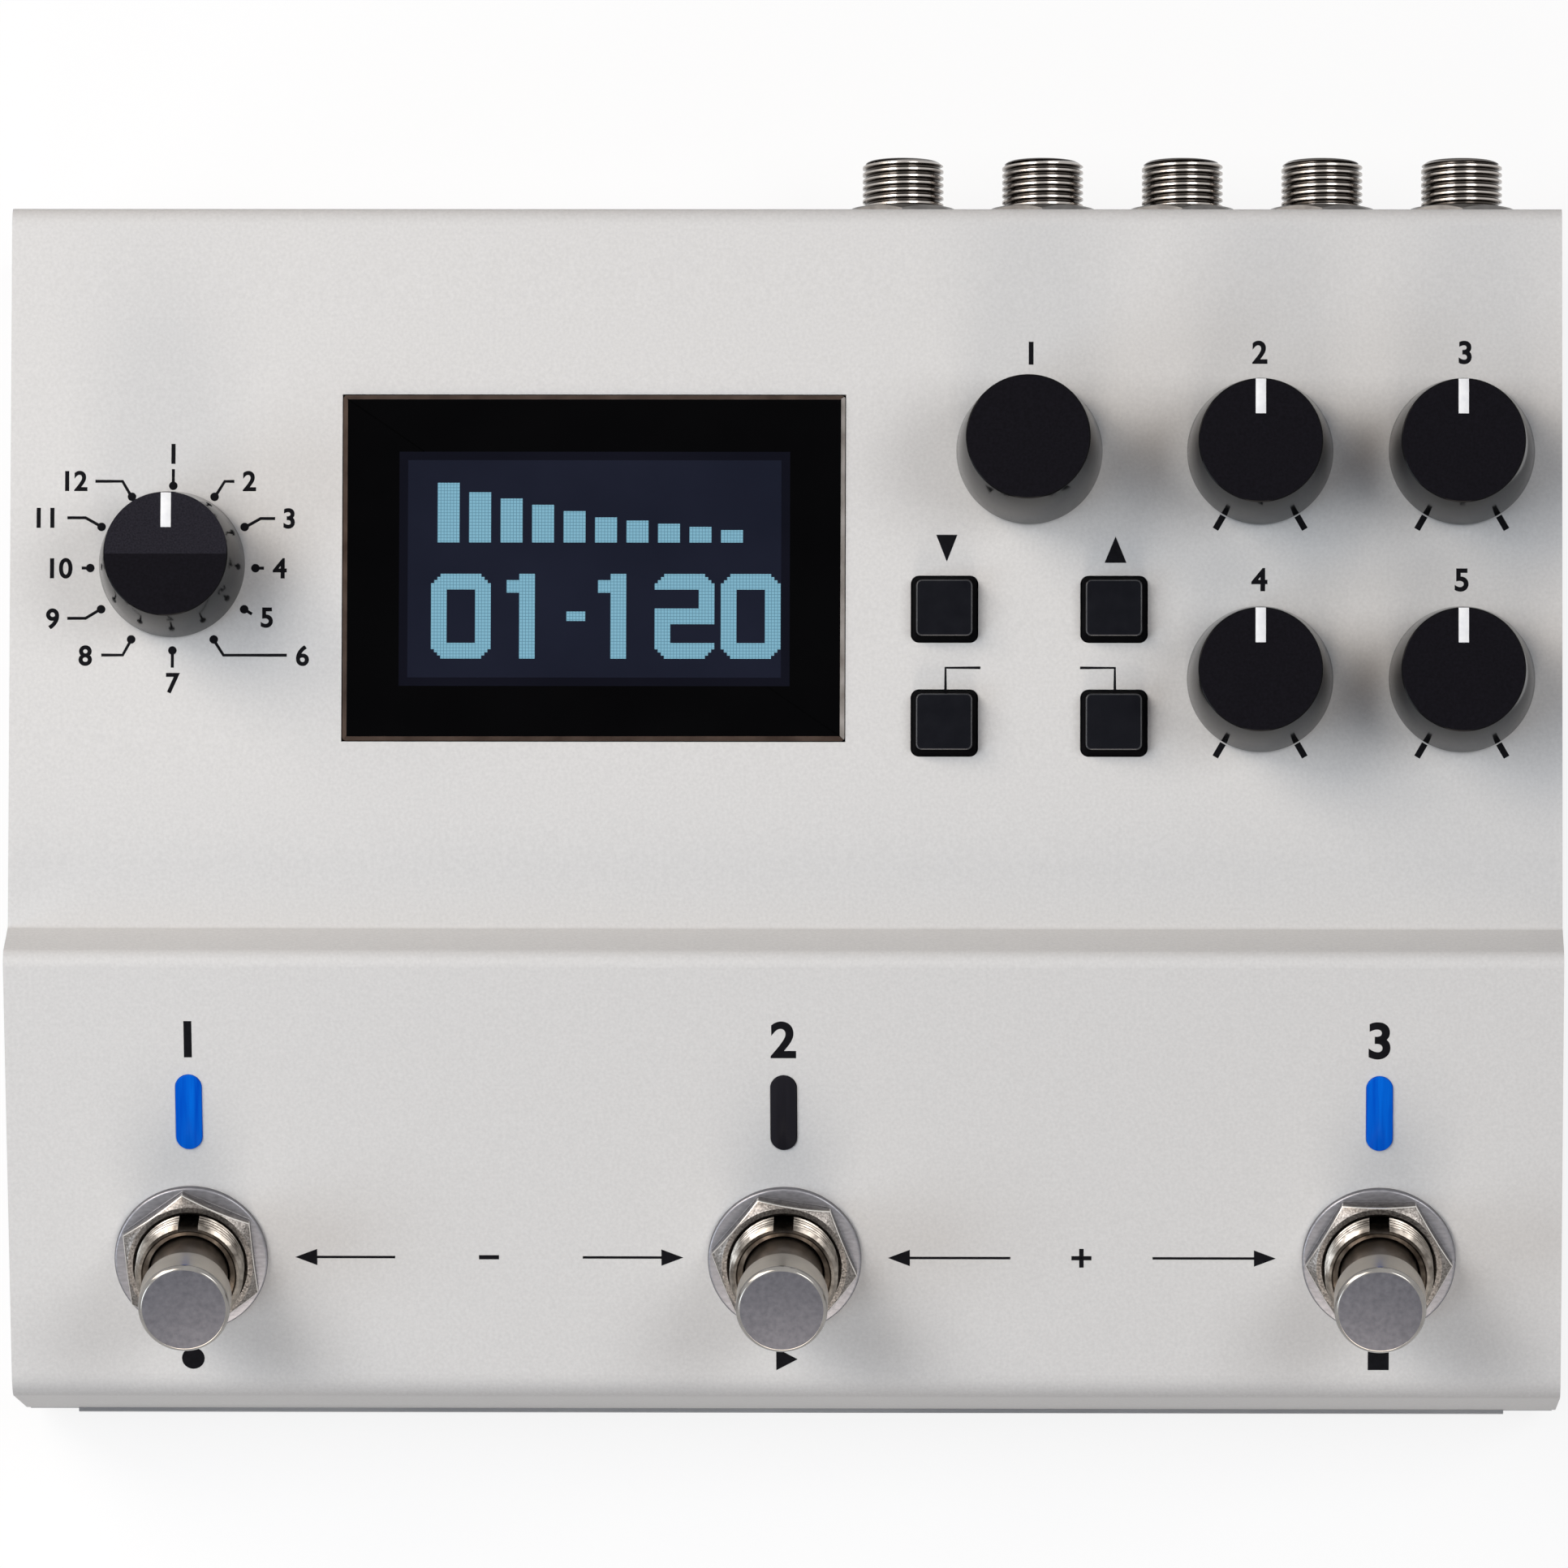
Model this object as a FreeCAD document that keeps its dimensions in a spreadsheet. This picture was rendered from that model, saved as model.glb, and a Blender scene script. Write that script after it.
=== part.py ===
import FreeCAD
import Part
import Sketcher
import math
import os
import re

# Digital delay pedal with three foot switches, in millimetres.
# Origin: centre of the footprint, on the floor. +X right, +Y to the rear, +Z up.
os.makedirs("parts", exist_ok=True)
doc = FreeCAD.newDocument("DelayPedal")
sheet = doc.addObject("Spreadsheet::Sheet", "Dim")
nodes = []

SIZES = {
    # Bent top cover, seen from the side as five flats; bends by their inner radius
    "case_width": 170.0,
    "rear_height": 45.2,
    "upper_run": 79.3,
    "upper_drop": 2.2,
    "riser_run": 3.7,
    "riser_rise": 8.2,
    "foot_run": 46.1,
    "front_height": 29.31,
    "front_lean": 0.4,
    "cover_sheet": 1.2,
    "rear_bend": 0.8,
    "valley_bend": 0.5,
    "ridge_bend": 0.3,
    "front_bend": 2.6,
    "lip_width": 9.0,
    # Bottom chassis, feet and the gaps between sheets
    "base_sheet": 1.2,
    "base_lip": 0.4,
    "base_corner": 5.4,
    "side_inset": 0.4,
    "sheet_gap": 0.3,
    "foot_height": 3.0,
    "foot_radius": 7.0,
    "foot_chamfer": 0.8,
    "foot_side_inset": 10.6,
    "foot_rear_inset": 7.9,
    "foot_front_inset": 15.2,
    # Screws
    "screw_radius": 1.45,
    "screw_gap": 0.15,
    "screw_head_radius": 2.8,
    "screw_head": 1.5,
    "screw_length": 5.0,
    "screw_inset": 24.6,
    "screw_pitch": 15.0,
    # Clearances
    "running_gap": 0.05,
    "fit_gap": 0.1,
    # Control columns from the side edges, rows from the rear edge of the upper panel
    "mode_inset": 17.8,
    "mode_row": 39.5,
    "right_inset": 11.0,
    "knob_pitch": 22.05,
    "time_pitch": 25.25,
    "rear_row": 27.0,
    "knob_row_pitch": 25.0,
    "key_pitch": 18.55,
    "key_drop": 17.3,
    "key_row_pitch": 12.5,
    "display_pitch": 46.2,
    "display_row": 39.8,
    # Rotary controls
    "shaft_radius": 3.0,
    "shaft_flat": 1.5,
    "bush_wall": 0.45,
    "bush_rise": 3.5,
    "control_side": 10.0,
    "switch_side": 14.0,
    "control_nut_flats": 10.0,
    "control_nut": 2.0,
    "control_floor": 0.5,
    # Knobs
    "knob_base_radius": 8.0,
    "knob_top_radius": 6.8,
    "knob_height": 13.5,
    "time_knob_height": 17.4,
    "knob_gap": 0.5,
    "knob_band": 0.5,
    "knob_chamfer": 0.2,
    "crease_fall": 0.24,
    "knob_roof": 2.0,
    "knob_hub_gap": 0.5,
    "knob_nut_gap": 0.83,
    "pointer_width": 1.15,
    "pointer_length": 3.9,
    "pointer_depth": 0.3,
    # Display
    "window_width": 55.0,
    "window_depth": 38.0,
    "window_rise": 0.5,
    "window_bevel": 0.5,
    "window_flange": 1.5,
    "window_flange_sheet": 0.8,
    "screen_width": 42.7,
    "screen_depth": 25.8,
    "screen_margin": 4.0,
    "screen_recess": 0.3,
    # Push buttons: square keys through square holes
    "key_side": 7.15,
    "key_top_side": 6.0,
    "key_rise": 2.0,
    "key_round": 0.8,
    "key_edge": 0.2,
    "key_gap": 0.12,
    "key_flange": 0.9,
    "key_flange_lip": 0.7,
    "stem_radius": 1.5,
    "stem_length": 1.6,
    "tact_side": 6.0,
    "tact_height": 1.8,
    "dome_radius": 2.0,
    # Foot switches and lamps, rows counted from the ridge
    "switch_inset": 20.0,
    "lamp_row": 18.3,
    "lamp_pitch": 17.0,
    "thread_wall": 0.9,
    "thread_rise": 5.8,
    "thread_drop": 8.0,
    "collar_sheet": 1.0,
    "washer_radius": 8.4,
    "washer_sheet": 0.8,
    "switch_nut_flats": 14.0,
    "switch_nut": 2.0,
    "nut_land": 0.15,
    "nut_cone": 30.0,
    "keyway_width": 2.2,
    "button_radius": 5.0,
    "button_rise": 16.1,
    "button_chamfer": 0.5,
    "button_flange": 1.5,
    "button_stem_radius": 2.0,
    "button_stem": 4.4,
    "housing_side": 16.0,
    "housing_height": 14.0,
    "housing_wall": 1.2,
    "spring_wire": 0.6,
    "spring_radius": 3.6,
    "lamp_width": 2.95,
    "lamp_length": 8.7,
    "lamp_rise": 0.25,
    "lamp_flange": 1.0,
    "lamp_board_drop": 6.5,
    "lamp_board_end": 9.0,
    "lamp_board_depth": 12.0,
    # Boards
    "board_sheet": 1.6,
    "panel_board_drop": 8.0,
    "panel_board_side": 3.4,
    "panel_board_rear": 0.8,
    "panel_board_front": 13.3,
    "standoff_radius": 2.6,
    "board_head_radius": 2.3,
    "panel_post_inset": 5.0,
    "main_board_height": 14.0,
    "main_board_side": 2.4,
    "main_board_gap": 3.95,
    "main_post_inset": 3.5,
    "ribbon_width": 25.0,
    "ribbon_sheet": 1.0,
    "ribbon_inset": 5.0,
    "plug_height": 5.0,
    "plug_margin": 2.0,
    # Rear sockets
    "jack_reach": 8.5,
    "jack_inset": 10.6,
    "jack_pitch": 15.5,
    "jack_rise": 6.0,
    "jack_radius": 4.5,
    "jack_bore": 3.2,
    "jack_relief": 0.3,
    "jack_tail": 9.0,
    "jack_tail_wall": 0.6,
    "jack_body_gap": 1.3,
    "jack_body_depth": 24.0,
    "jack_chamber_gap": 0.2,
    "jack_nut_flats": 12.0,
    "jack_nut": 2.3,
    "jack_washer_radius": 6.8,
    "jack_washer": 0.8,
    "jack_chamfer": 0.5,
    "din_offset": 22.0,
    "din_gap": 2.9,
    "din_width": 20.6,
    "din_height": 19.0,
    "din_depth": 15.0,
    "din_radius": 7.5,
    "din_shroud": 0.8,
    "din_ring": 0.8,
    "din_socket_depth": 8.0,
    "din_pin_radius": 0.75,
    "din_pin_circle": 3.5,
    "usb_pitch": 16.5,
    "usb_width": 12.0,
    "usb_height": 10.8,
    "usb_depth": 16.5,
    "usb_opening": 8.6,
    "usb_tongue": 3.4,
    "usb_tongue_width": 5.4,
    "usb_corner": 1.6,
    "power_inset": 12.5,
    "power_width": 9.0,
    "power_height": 11.0,
    "power_depth": 14.0,
    "power_bore": 3.0,
    "power_pin": 1.0,
    "power_socket_depth": 9.5,
    # Battery compartment and door
    "cell_radius": 7.25,
    "cell_length": 50.5,
    "cell_gap": 0.35,
    "contact_room": 3.6,
    "contact_sheet": 0.4,
    "box_wall": 2.0,
    "box_clearance": 2.24,
    "box_flange": 3.0,
    "door_sheet": 1.8,
    "door_gap": 0.3,
    "peg_radius": 0.6,
    "peg_length": 1.2,
    "scoop_radius": 6.0,
}
for row, (alias, value) in enumerate(SIZES.items(), 1):
    sheet.set(f"A{row}", alias)
    sheet.set(f"B{row}", str(value))
    sheet.setAlias(f"B{row}", alias)

# Sizes and places that follow from the driving ones
DERIVED = {
    "case_depth": "upper_run + riser_run + foot_run",
    "rear_y": "(case_depth + base_lip + jack_reach) / 2 - jack_reach",
    "front_y": "rear_y - case_depth",
    "valley_y": "rear_y - upper_run",
    "valley_height": "rear_height - upper_drop",
    "ridge_y": "valley_y - riser_run",
    "ridge_height": "valley_height + riser_rise",
    "upper_slope": "atan(upper_drop / upper_run)",
    "riser_slope": "atan(riser_rise / riser_run)",
    "foot_slope": "atan((ridge_height - front_height) / (foot_run + front_lean))",
    "base_top": "foot_height + base_sheet",
    "front_slope": "atan(front_lean / (front_height - base_top))",
    "wall_out": "case_width / 2 - side_inset",
    "wall_in": "wall_out - base_sheet",
    "screw_outer": "wall_out - screw_inset",
    "front_screw_y": "front_y + cover_sheet + lip_width / 2",
    "rear_screw_y": "rear_y - cover_sheet - lip_width / 2",
    "mode_column": "mode_inset - case_width / 2",
    "right_column": "case_width / 2 - right_inset",
    "middle_column": "right_column - knob_pitch",
    "time_column": "middle_column - time_pitch",
    "front_row": "rear_row + knob_row_pitch",
    "rear_key_row": "rear_row + key_drop",
    "display_column": "mode_column + display_pitch",
    "bush_radius": "shaft_radius + running_gap + bush_wall",
    "flange_drop": "cover_sheet + running_gap",
    "stem_drop": "flange_drop + key_flange + stem_length",
    "switch_column": "case_width / 2 - switch_inset",
    "switch_row": "lamp_row + lamp_pitch",
    "thread_radius": "button_radius + running_gap + thread_wall",
    "housing_rear": "ridge_y - (switch_row - housing_side / 2) * cos(foot_slope)"
                    " + (thread_drop + housing_height) * sin(foot_slope)",
    "jack_column": "case_width / 2 - jack_inset - 4 * jack_pitch",
    "jack_height": "main_board_height + jack_rise",
    "jack_tail_radius": "jack_bore + jack_relief + jack_tail_wall",
    "jack_body_width": "jack_pitch - jack_body_gap",
    "jack_wall_y": "rear_y - cover_sheet",
    "din_pitch": "din_width + din_gap",
    "power_column": "power_inset - case_width / 2",
    "usb_column": "power_column + usb_pitch",
    "din_column": "usb_column + din_offset",
    "left_post_x": "(power_column + power_width / 2 + usb_column - usb_width / 2) / 2",
    "din_end_x": "din_column + din_pitch + din_width / 2",
    "right_post_x": "(din_end_x + jack_column - jack_body_width / 2) / 2",
    "box_width": "8 * cell_radius + 5 * cell_gap",
    "box_length": "cell_length + contact_room",
    "box_row": "housing_rear + box_clearance + box_wall + box_length / 2",
    "box_roof": "base_top + door_sheet + 2 * cell_radius",
    "door_front": "box_row - box_length / 2 + door_gap",
    "door_rear": "box_row + box_length / 2 - door_gap",
    "hinge_y": "door_front + door_sheet / 2",
    "hinge_z": "foot_height + door_sheet / 2",
    "main_board_width": "2 * (wall_in - main_board_side)",
    "main_board_front": "box_row + box_length / 2 + box_wall + main_board_gap",
    "main_board_rear": "jack_wall_y - sheet_gap",
    "panel_board_width": "2 * (wall_in - panel_board_side)",
    "panel_rear_row": "cover_sheet + din_depth + panel_board_rear",
    "panel_front_row": "upper_run - panel_board_front",
    "ribbon_y": "main_board_front + ribbon_inset",
    "ribbon_row": "(rear_y - ribbon_y) / cos(upper_slope)",
}
doc.recompute()


def full(text):
    """An expression written with bare names, spelled out as the sheet knows them."""
    def spell(match):
        word = match.group(0)
        if word in DERIVED:
            return "(" + full(DERIVED[word]) + ")"
        return "Dim." + word if word in SIZES else word
    return re.sub(r"[a-z][a-z_]*", spell, text)


def number(text):
    """The value of an expression, as a plain number."""
    value = sheet.evalExpression(full(text))
    return float(getattr(value, "Value", value))


def bind(item, **sizes):
    """Tie properties of an object to expressions."""
    for name, text in sizes.items():
        item.setExpression(name, full(text))


def place(item, x="0", y="0", z="0", tilt=None):
    """Put an object at (x, y, z), turned about its X axis by the tilt."""
    turned = FreeCAD.Rotation(FreeCAD.Vector(1, 0, 0), number(tilt) if tilt else 0)
    item.Placement = FreeCAD.Placement(FreeCAD.Vector(), turned)
    for axis, text in zip("xyz", (x, y, z)):
        item.setExpression(f"Placement.Base.{axis}", full(text))
    if tilt:
        item.setExpression("Placement.Rotation.Angle", full(tilt))
    return item


def on_upper(item, x, row):
    """Put an object on the upper panel, its own +Z along the panel's normal."""
    return place(item, x, f"rear_y - ({row}) * cos(upper_slope)",
                 f"rear_height - ({row}) * sin(upper_slope)", "upper_slope")


def on_foot(item, x, row):
    """Put an object on the sloping foot panel, its own +Z along the panel's normal."""
    return place(item, x, f"ridge_y - ({row}) * cos(foot_slope)",
                 f"ridge_height - ({row}) * sin(foot_slope)", "foot_slope")


def on_rear(item, x, height):
    """Put an object on the rear face, its own +Z pointing out of the case."""
    return place(item, x, "rear_y", height, "-90")


def node(item, label):
    """Name a finished sub-part and keep it for the export."""
    item.Label = label
    nodes.append(item)
    return item


# Primitives and booleans

def cylinder(radius, height, base="0", x="0", y="0"):
    item = doc.addObject("Part::Cylinder", "cylinder")
    bind(item, Radius=radius, Height=height)
    return place(item, x, y, base)


def box(width, depth, height, base="0", x="0", y="0"):
    """A box centred on x and y, standing on its base height."""
    item = doc.addObject("Part::Box", "box")
    bind(item, Length=width, Width=depth, Height=height)
    return place(item, f"{x} - ({width}) / 2", f"{y} - ({depth}) / 2", base)


def cut(base, *tools):
    item = doc.addObject("Part::Cut", "cut")
    item.Base = base
    item.Tool = tools[0] if len(tools) == 1 else fuse(*tools)
    return item


def fuse(*parts):
    item = doc.addObject("Part::MultiFuse", "fuse")
    item.Shapes = list(parts)
    return item


def held(*parts):
    """Pieces kept as they are, to be placed together."""
    item = doc.addObject("Part::Compound", "held")
    item.Links = list(parts)
    return item


def group(label, parts):
    """Like pieces that share one node, each a solid of its own."""
    return node(held(*parts), label)


def tube(outer, inner, height, base="0"):
    return cut(cylinder(outer, height, base), cylinder(inner, height, base))


def hexagon(flats, height, base, turn=0.0):
    """A hexagonal prism, one corner on +X before the turn."""
    item = doc.addObject("Part::Prism", "hexagon")
    item.Polygon = 6
    bind(item, Circumradius=f"({flats}) / 2 / cos(30)", Height=height)
    item.Placement.Rotation = FreeCAD.Rotation(FreeCAD.Vector(0, 0, 1), turn)
    item.setExpression("Placement.Base.z", full(base))
    return item


def hex_nut(flats, bore, height, base="0", turn=0.0):
    """A nut whose corners are turned down by a cone, as a real nut's are."""
    cone = doc.addObject("Part::Cone", "cone")
    top = f"({flats}) / 2 - nut_land"
    bind(cone, Radius1=f"{top} + ({height}) / tan(nut_cone)", Radius2=top, Height=height)
    place(cone, z=base)
    common = doc.addObject("Part::Common", "common")
    common.Base = hexagon(flats, height, base, turn)
    common.Tool = cone
    return cut(common, cylinder(bore, height, base))


# Sketch-based features

def new_body(label):
    return doc.addObject("PartDesign::Body", label)


def sketch(owner, role, name, y="0", z="0", tilt=None):
    """A sketch on one of the body's origin planes, moved or tilted where asked."""
    item = owner.newObject("Sketcher::SketchObject", f"{owner.Name}_{name}")
    item.AttachmentSupport = [(f, "") for f in owner.Origin.OriginFeatures if f.Role == role]
    item.MapMode = "FlatFace"
    turned = FreeCAD.Rotation(FreeCAD.Vector(1, 0, 0), number(tilt) if tilt else 0)
    item.AttachmentOffset = FreeCAD.Placement(FreeCAD.Vector(), turned)
    item.setExpression("AttachmentOffset.Base.y", full(y))
    item.setExpression("AttachmentOffset.Base.z", full(z))
    if tilt:
        item.setExpression("AttachmentOffset.Rotation.Angle", full(tilt))
    return item


def fix(item, geometry, point, x, y):
    """Hold one point of a sketch at a pair of expressions."""
    for kind, text in (("DistanceX", x), ("DistanceY", y)):
        held = Sketcher.Constraint(kind, -1, 1, geometry, point, number(text))
        item.setExpression(f"Constraints[{item.addConstraint(held)}]", full(text))


def outline(item, corners):
    """A closed outline through corners given as pairs of expressions."""
    points = [FreeCAD.Vector(number(x), number(y), 0) for x, y in corners]
    first = item.GeometryCount
    after = points[1:] + points[:1]
    item.addGeometry([Part.LineSegment(a, b) for a, b in zip(points, after)], False)
    for i, (x, y) in enumerate(corners):
        joined = first + (i + 1) % len(corners)
        item.addConstraint(Sketcher.Constraint("Coincident", first + i, 2, joined, 1))
        fix(item, first + i, 1, x, y)


def rectangle(item, x, y, width, depth):
    left, right = f"{x} - ({width}) / 2", f"{x} + ({width}) / 2"
    low, high = f"{y} - ({depth}) / 2", f"{y} + ({depth}) / 2"
    outline(item, [(left, low), (right, low), (right, high), (left, high)])


def circle(item, x, y, radius):
    centre = FreeCAD.Vector(number(x), number(y), 0)
    index = item.addGeometry(Part.Circle(centre, FreeCAD.Vector(0, 0, 1), number(radius)), False)
    fix(item, index, 3, x, y)
    held = Sketcher.Constraint("Radius", index, number(radius))
    item.setExpression(f"Constraints[{item.addConstraint(held)}]", full(radius))


def rounded(item, x, y, width, depth, radius):
    """A rectangle with round corners."""
    turn = math.pi / 2
    bend = number(radius)
    arcs = []
    for i, (right, up) in enumerate(((1, 1), (-1, 1), (-1, -1), (1, -1))):
        centre = (f"{x} + {right} * (({width}) / 2 - ({radius}))",
                  f"{y} + {up} * (({depth}) / 2 - ({radius}))")
        middle = FreeCAD.Vector(number(centre[0]), number(centre[1]), 0)
        round_corner = Part.Circle(middle, FreeCAD.Vector(0, 0, 1), bend)
        arc = Part.ArcOfCircle(round_corner, i * turn, (i + 1) * turn)
        arcs.append((item.addGeometry(arc, False), arc, centre))
    for (index, arc, centre), (after, next_arc, _) in zip(arcs, arcs[1:] + arcs[:1]):
        start, end = arc.EndPoint, next_arc.StartPoint
        line = item.addGeometry(Part.LineSegment(start, end), False)
        item.addConstraint(Sketcher.Constraint("Tangent", index, 2, line, 1))
        item.addConstraint(Sketcher.Constraint("Tangent", line, 2, after, 1))
        fix(item, index, 3, *centre)
        held = Sketcher.Constraint("Radius", index, bend)
        item.setExpression(f"Constraints[{item.addConstraint(held)}]", full(radius))


def stadium(item, x, y, width, length):
    """A slot with round ends, its length along Y."""
    reach = f"(({length}) - ({width})) / 2"
    radius = f"({width}) / 2"
    low = FreeCAD.Vector(number(x), number(f"{y} - {reach}"), 0)
    high = FreeCAD.Vector(number(x), number(f"{y} + {reach}"), 0)
    side = FreeCAD.Vector(number(radius), 0, 0)
    up = FreeCAD.Vector(0, 0, 1)
    top = item.addGeometry(Part.ArcOfCircle(Part.Circle(high, up, side.x), 0, math.pi), False)
    left = item.addGeometry(Part.LineSegment(high - side, low - side), False)
    bottom = item.addGeometry(
        Part.ArcOfCircle(Part.Circle(low, up, side.x), math.pi, 2 * math.pi), False)
    right = item.addGeometry(Part.LineSegment(low + side, high + side), False)
    for a, b in ((top, left), (left, bottom), (bottom, right), (right, top)):
        item.addConstraint(Sketcher.Constraint("Tangent", a, 2, b, 1))
    fix(item, top, 3, x, f"{y} + {reach}")
    fix(item, bottom, 3, x, f"{y} - {reach}")
    held = Sketcher.Constraint("Radius", top, side.x)
    item.setExpression(f"Constraints[{item.addConstraint(held)}]", full(radius))


def feature(owner, kind, profile, name, **settings):
    """A pad, pocket or revolution of a sketch."""
    item = owner.newObject(f"PartDesign::{kind}", f"{owner.Name}_{name}")
    item.Profile = profile
    for key, value in settings.items():
        setattr(item, key, value)
    return item


def pad(owner, profile, name, length, **settings):
    item = feature(owner, "Pad", profile, name, **settings)
    bind(item, Length=length)
    return item


def pocket(owner, profile, name, depth=None, **settings):
    """A pocket, which has to take material away."""
    doc.recompute()
    before = owner.Shape.Volume
    item = feature(owner, "Pocket", profile, name, **settings)
    if depth:
        bind(item, Length=depth)
    else:
        item.Type = "ThroughAll"
    doc.recompute()
    if owner.Shape.Volume > before - 0.01:
        raise RuntimeError(f"{owner.Name}: {name} cuts nothing")
    return item


def turned(label, corners):
    """A body of revolution about Z from (radius, height) corners."""
    owner = new_body(label)
    profile = sketch(owner, "XZ_Plane", "profile")
    outline(profile, corners)
    feature(owner, "Revolution", profile, "turn", ReferenceAxis=(profile, ["V_Axis"]), Angle=360)
    return owner


def dress(owner, kind, name, amount, wanted):
    """Round or chamfer every edge of the body's tip that the test accepts."""
    doc.recompute()
    tip = owner.Tip
    edges = [f"Edge{i}" for i, edge in enumerate(tip.Shape.Edges, 1) if wanted(edge)]
    item = owner.newObject(f"PartDesign::{kind}", f"{owner.Name}_{name}")
    item.Base = (tip, edges)
    bind(item, **{"Radius" if kind == "Fillet" else "Size": amount})
    return item


def along_x_at(y, z):
    """True for the long edge through (y, z) that runs across the case."""
    place_y, place_z = number(y), number(z)

    def wanted(edge):
        centre = edge.CenterOfMass
        return math.hypot(centre.y - place_y, centre.z - place_z) < 0.01 and abs(centre.x) < 0.01
    return wanted


def at_height(z):
    """True for an edge that lies flat at the height."""
    level = number(z)

    def wanted(edge):
        bounds = edge.BoundBox
        return abs(bounds.ZMin - level) < 0.001 and abs(bounds.ZMax - level) < 0.001
    return wanted


# Inward normals of the cover's flats, and the corners that they share
REAR = ("-1", "0")
UPPER = ("sin(upper_slope)", "-cos(upper_slope)")
RISER = ("-sin(riser_slope)", "-cos(riser_slope)")
FOOT = ("sin(foot_slope)", "-cos(foot_slope)")
FRONT = ("cos(front_slope)", "sin(front_slope)")
CORNERS = [("rear_y", "rear_height"), ("valley_y", "valley_height"),
           ("ridge_y", "ridge_height"), ("front_y - front_lean", "front_height")]
CONTROLS = {
    "mode": ("mode_column", "mode_row"),
    "time": ("time_column", "rear_row"),
    "feedback": ("middle_column", "rear_row"),
    "level": ("right_column", "rear_row"),
    "tone": ("middle_column", "front_row"),
    "depth": ("right_column", "front_row"),
}
BUTTONS = {
    "down": ("time_column - key_pitch / 2", "rear_key_row"),
    "up": ("time_column + key_pitch / 2", "rear_key_row"),
    "exit": ("time_column - key_pitch / 2", "rear_key_row + key_row_pitch"),
    "edit": ("time_column + key_pitch / 2", "rear_key_row + key_row_pitch"),
}
SWITCHES = {"left": "-switch_column", "centre": "0", "right": "switch_column"}
NUT_TURNS = {"left": 36.0, "centre": 51.0, "right": 0.0}
JACKS = [f"jack_column + {i} * jack_pitch" for i in range(5)]
DINS = [f"din_column + {i} * din_pitch" for i in range(2)]
SCREWS = [(f"{side} * (screw_outer - {step} * screw_pitch)", y)
          for side in (-1, 1) for step in (0, 1) for y in ("front_screw_y", "rear_screw_y")]


def inset(corner, first, second, depth):
    """The corner of two flats after both have moved inward by the depth."""
    share = (f"({depth}) / (1 + ({first[0]}) * ({second[0]}) "
             f"+ ({first[1]}) * ({second[1]}))")
    return tuple(f"{at} + (({a}) + ({b})) * {share}" for at, a, b in zip(corner, first, second))


# Case

def top_cover():
    """One bent sheet: rear flange, upper panel, riser, foot panel, front flange and lips."""
    cover = new_body("top_cover")
    side = sketch(cover, "YZ_Plane", "side")
    outline(side, [("rear_y", "base_top")] + CORNERS + [("front_y", "base_top")])
    pad(cover, side, "block", "case_width", SideType="Symmetric")
    bends = ("rear_bend + cover_sheet", "valley_bend", "ridge_bend + cover_sheet",
             "front_bend + cover_sheet")
    for i, (bend, corner) in enumerate(zip(bends, CORNERS)):
        dress(cover, "Fillet", f"bend_{i}", bend, along_x_at(*corner))
    doc.recompute()
    solid = cover.Tip
    ends = [f"Face{i}" for i, face in enumerate(solid.Shape.Faces, 1)
            if abs(face.CenterOfMass.x) > number("case_width") / 2 - 0.01]
    wall = cover.newObject("PartDesign::Thickness", "top_cover_sheet")
    wall.Base = (solid, ends)
    wall.Reversed = True
    bind(wall, Value="cover_sheet")
    lips = sketch(cover, "XY_Plane", "lips", z="base_top")
    side_x, lip_x = "case_width / 2", "(wall_in - sheet_gap)"
    front_in, rear_in = "front_y + cover_sheet", "rear_y - cover_sheet"
    front_lip, rear_lip = f"{front_in} + lip_width", f"{rear_in} - lip_width"
    outline(lips, [
        (f"-{side_x}", front_in), (f"-{lip_x}", front_in), (f"-{lip_x}", front_lip),
        (lip_x, front_lip), (lip_x, front_in), (side_x, front_in),
        (side_x, rear_in), (lip_x, rear_in), (lip_x, rear_lip),
        (f"-{lip_x}", rear_lip), (f"-{lip_x}", rear_in), (f"-{side_x}", rear_in)])
    pocket(cover, lips, "bottom_opening", "cover_sheet", Reversed=True)
    holes = sketch(cover, "XY_Plane", "lip_holes", z="base_top")
    for x, y in SCREWS:
        circle(holes, x, y, "screw_radius + running_gap")
    pocket(cover, holes, "lip_screw_holes", "cover_sheet", Reversed=True)
    upper = sketch(cover, "XY_Plane", "upper_openings", "rear_y", "rear_height", "upper_slope")
    for x, row in CONTROLS.values():
        circle(upper, x, f"-{row}", "bush_radius + fit_gap")
    for x, row in BUTTONS.values():
        hole = "key_side + 2 * key_gap"
        rounded(upper, x, f"-({row})", hole, hole, "key_round + key_gap")
    rectangle(upper, "display_column", "-display_row", "window_width + 2 * fit_gap",
              "window_depth + 2 * fit_gap")
    pocket(cover, upper, "upper_holes", "2 * cover_sheet")
    foot = sketch(cover, "XY_Plane", "foot_openings", "ridge_y", "ridge_height", "foot_slope")
    for x in SWITCHES.values():
        circle(foot, x, "-switch_row", "thread_radius + fit_gap")
        stadium(foot, x, "-lamp_row", "lamp_width", "lamp_length")
    pocket(cover, foot, "foot_holes", "2 * cover_sheet")
    rear = sketch(cover, "XZ_Plane", "rear_openings", z="-rear_y")
    for x in JACKS:
        circle(rear, x, "jack_height", "jack_radius + fit_gap")
    for x in DINS:
        circle(rear, x, "main_board_height + din_height / 2", "din_radius + fit_gap")
    rectangle(rear, "usb_column", "main_board_height + usb_height / 2",
              "usb_width + 2 * fit_gap", "usb_height + 2 * fit_gap")
    circle(rear, "power_column", "main_board_height + power_height / 2",
           "power_width / 2 + fit_gap")
    pocket(cover, rear, "rear_holes", "2 * cover_sheet", Reversed=True)
    node(cover, "top_cover")


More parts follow.
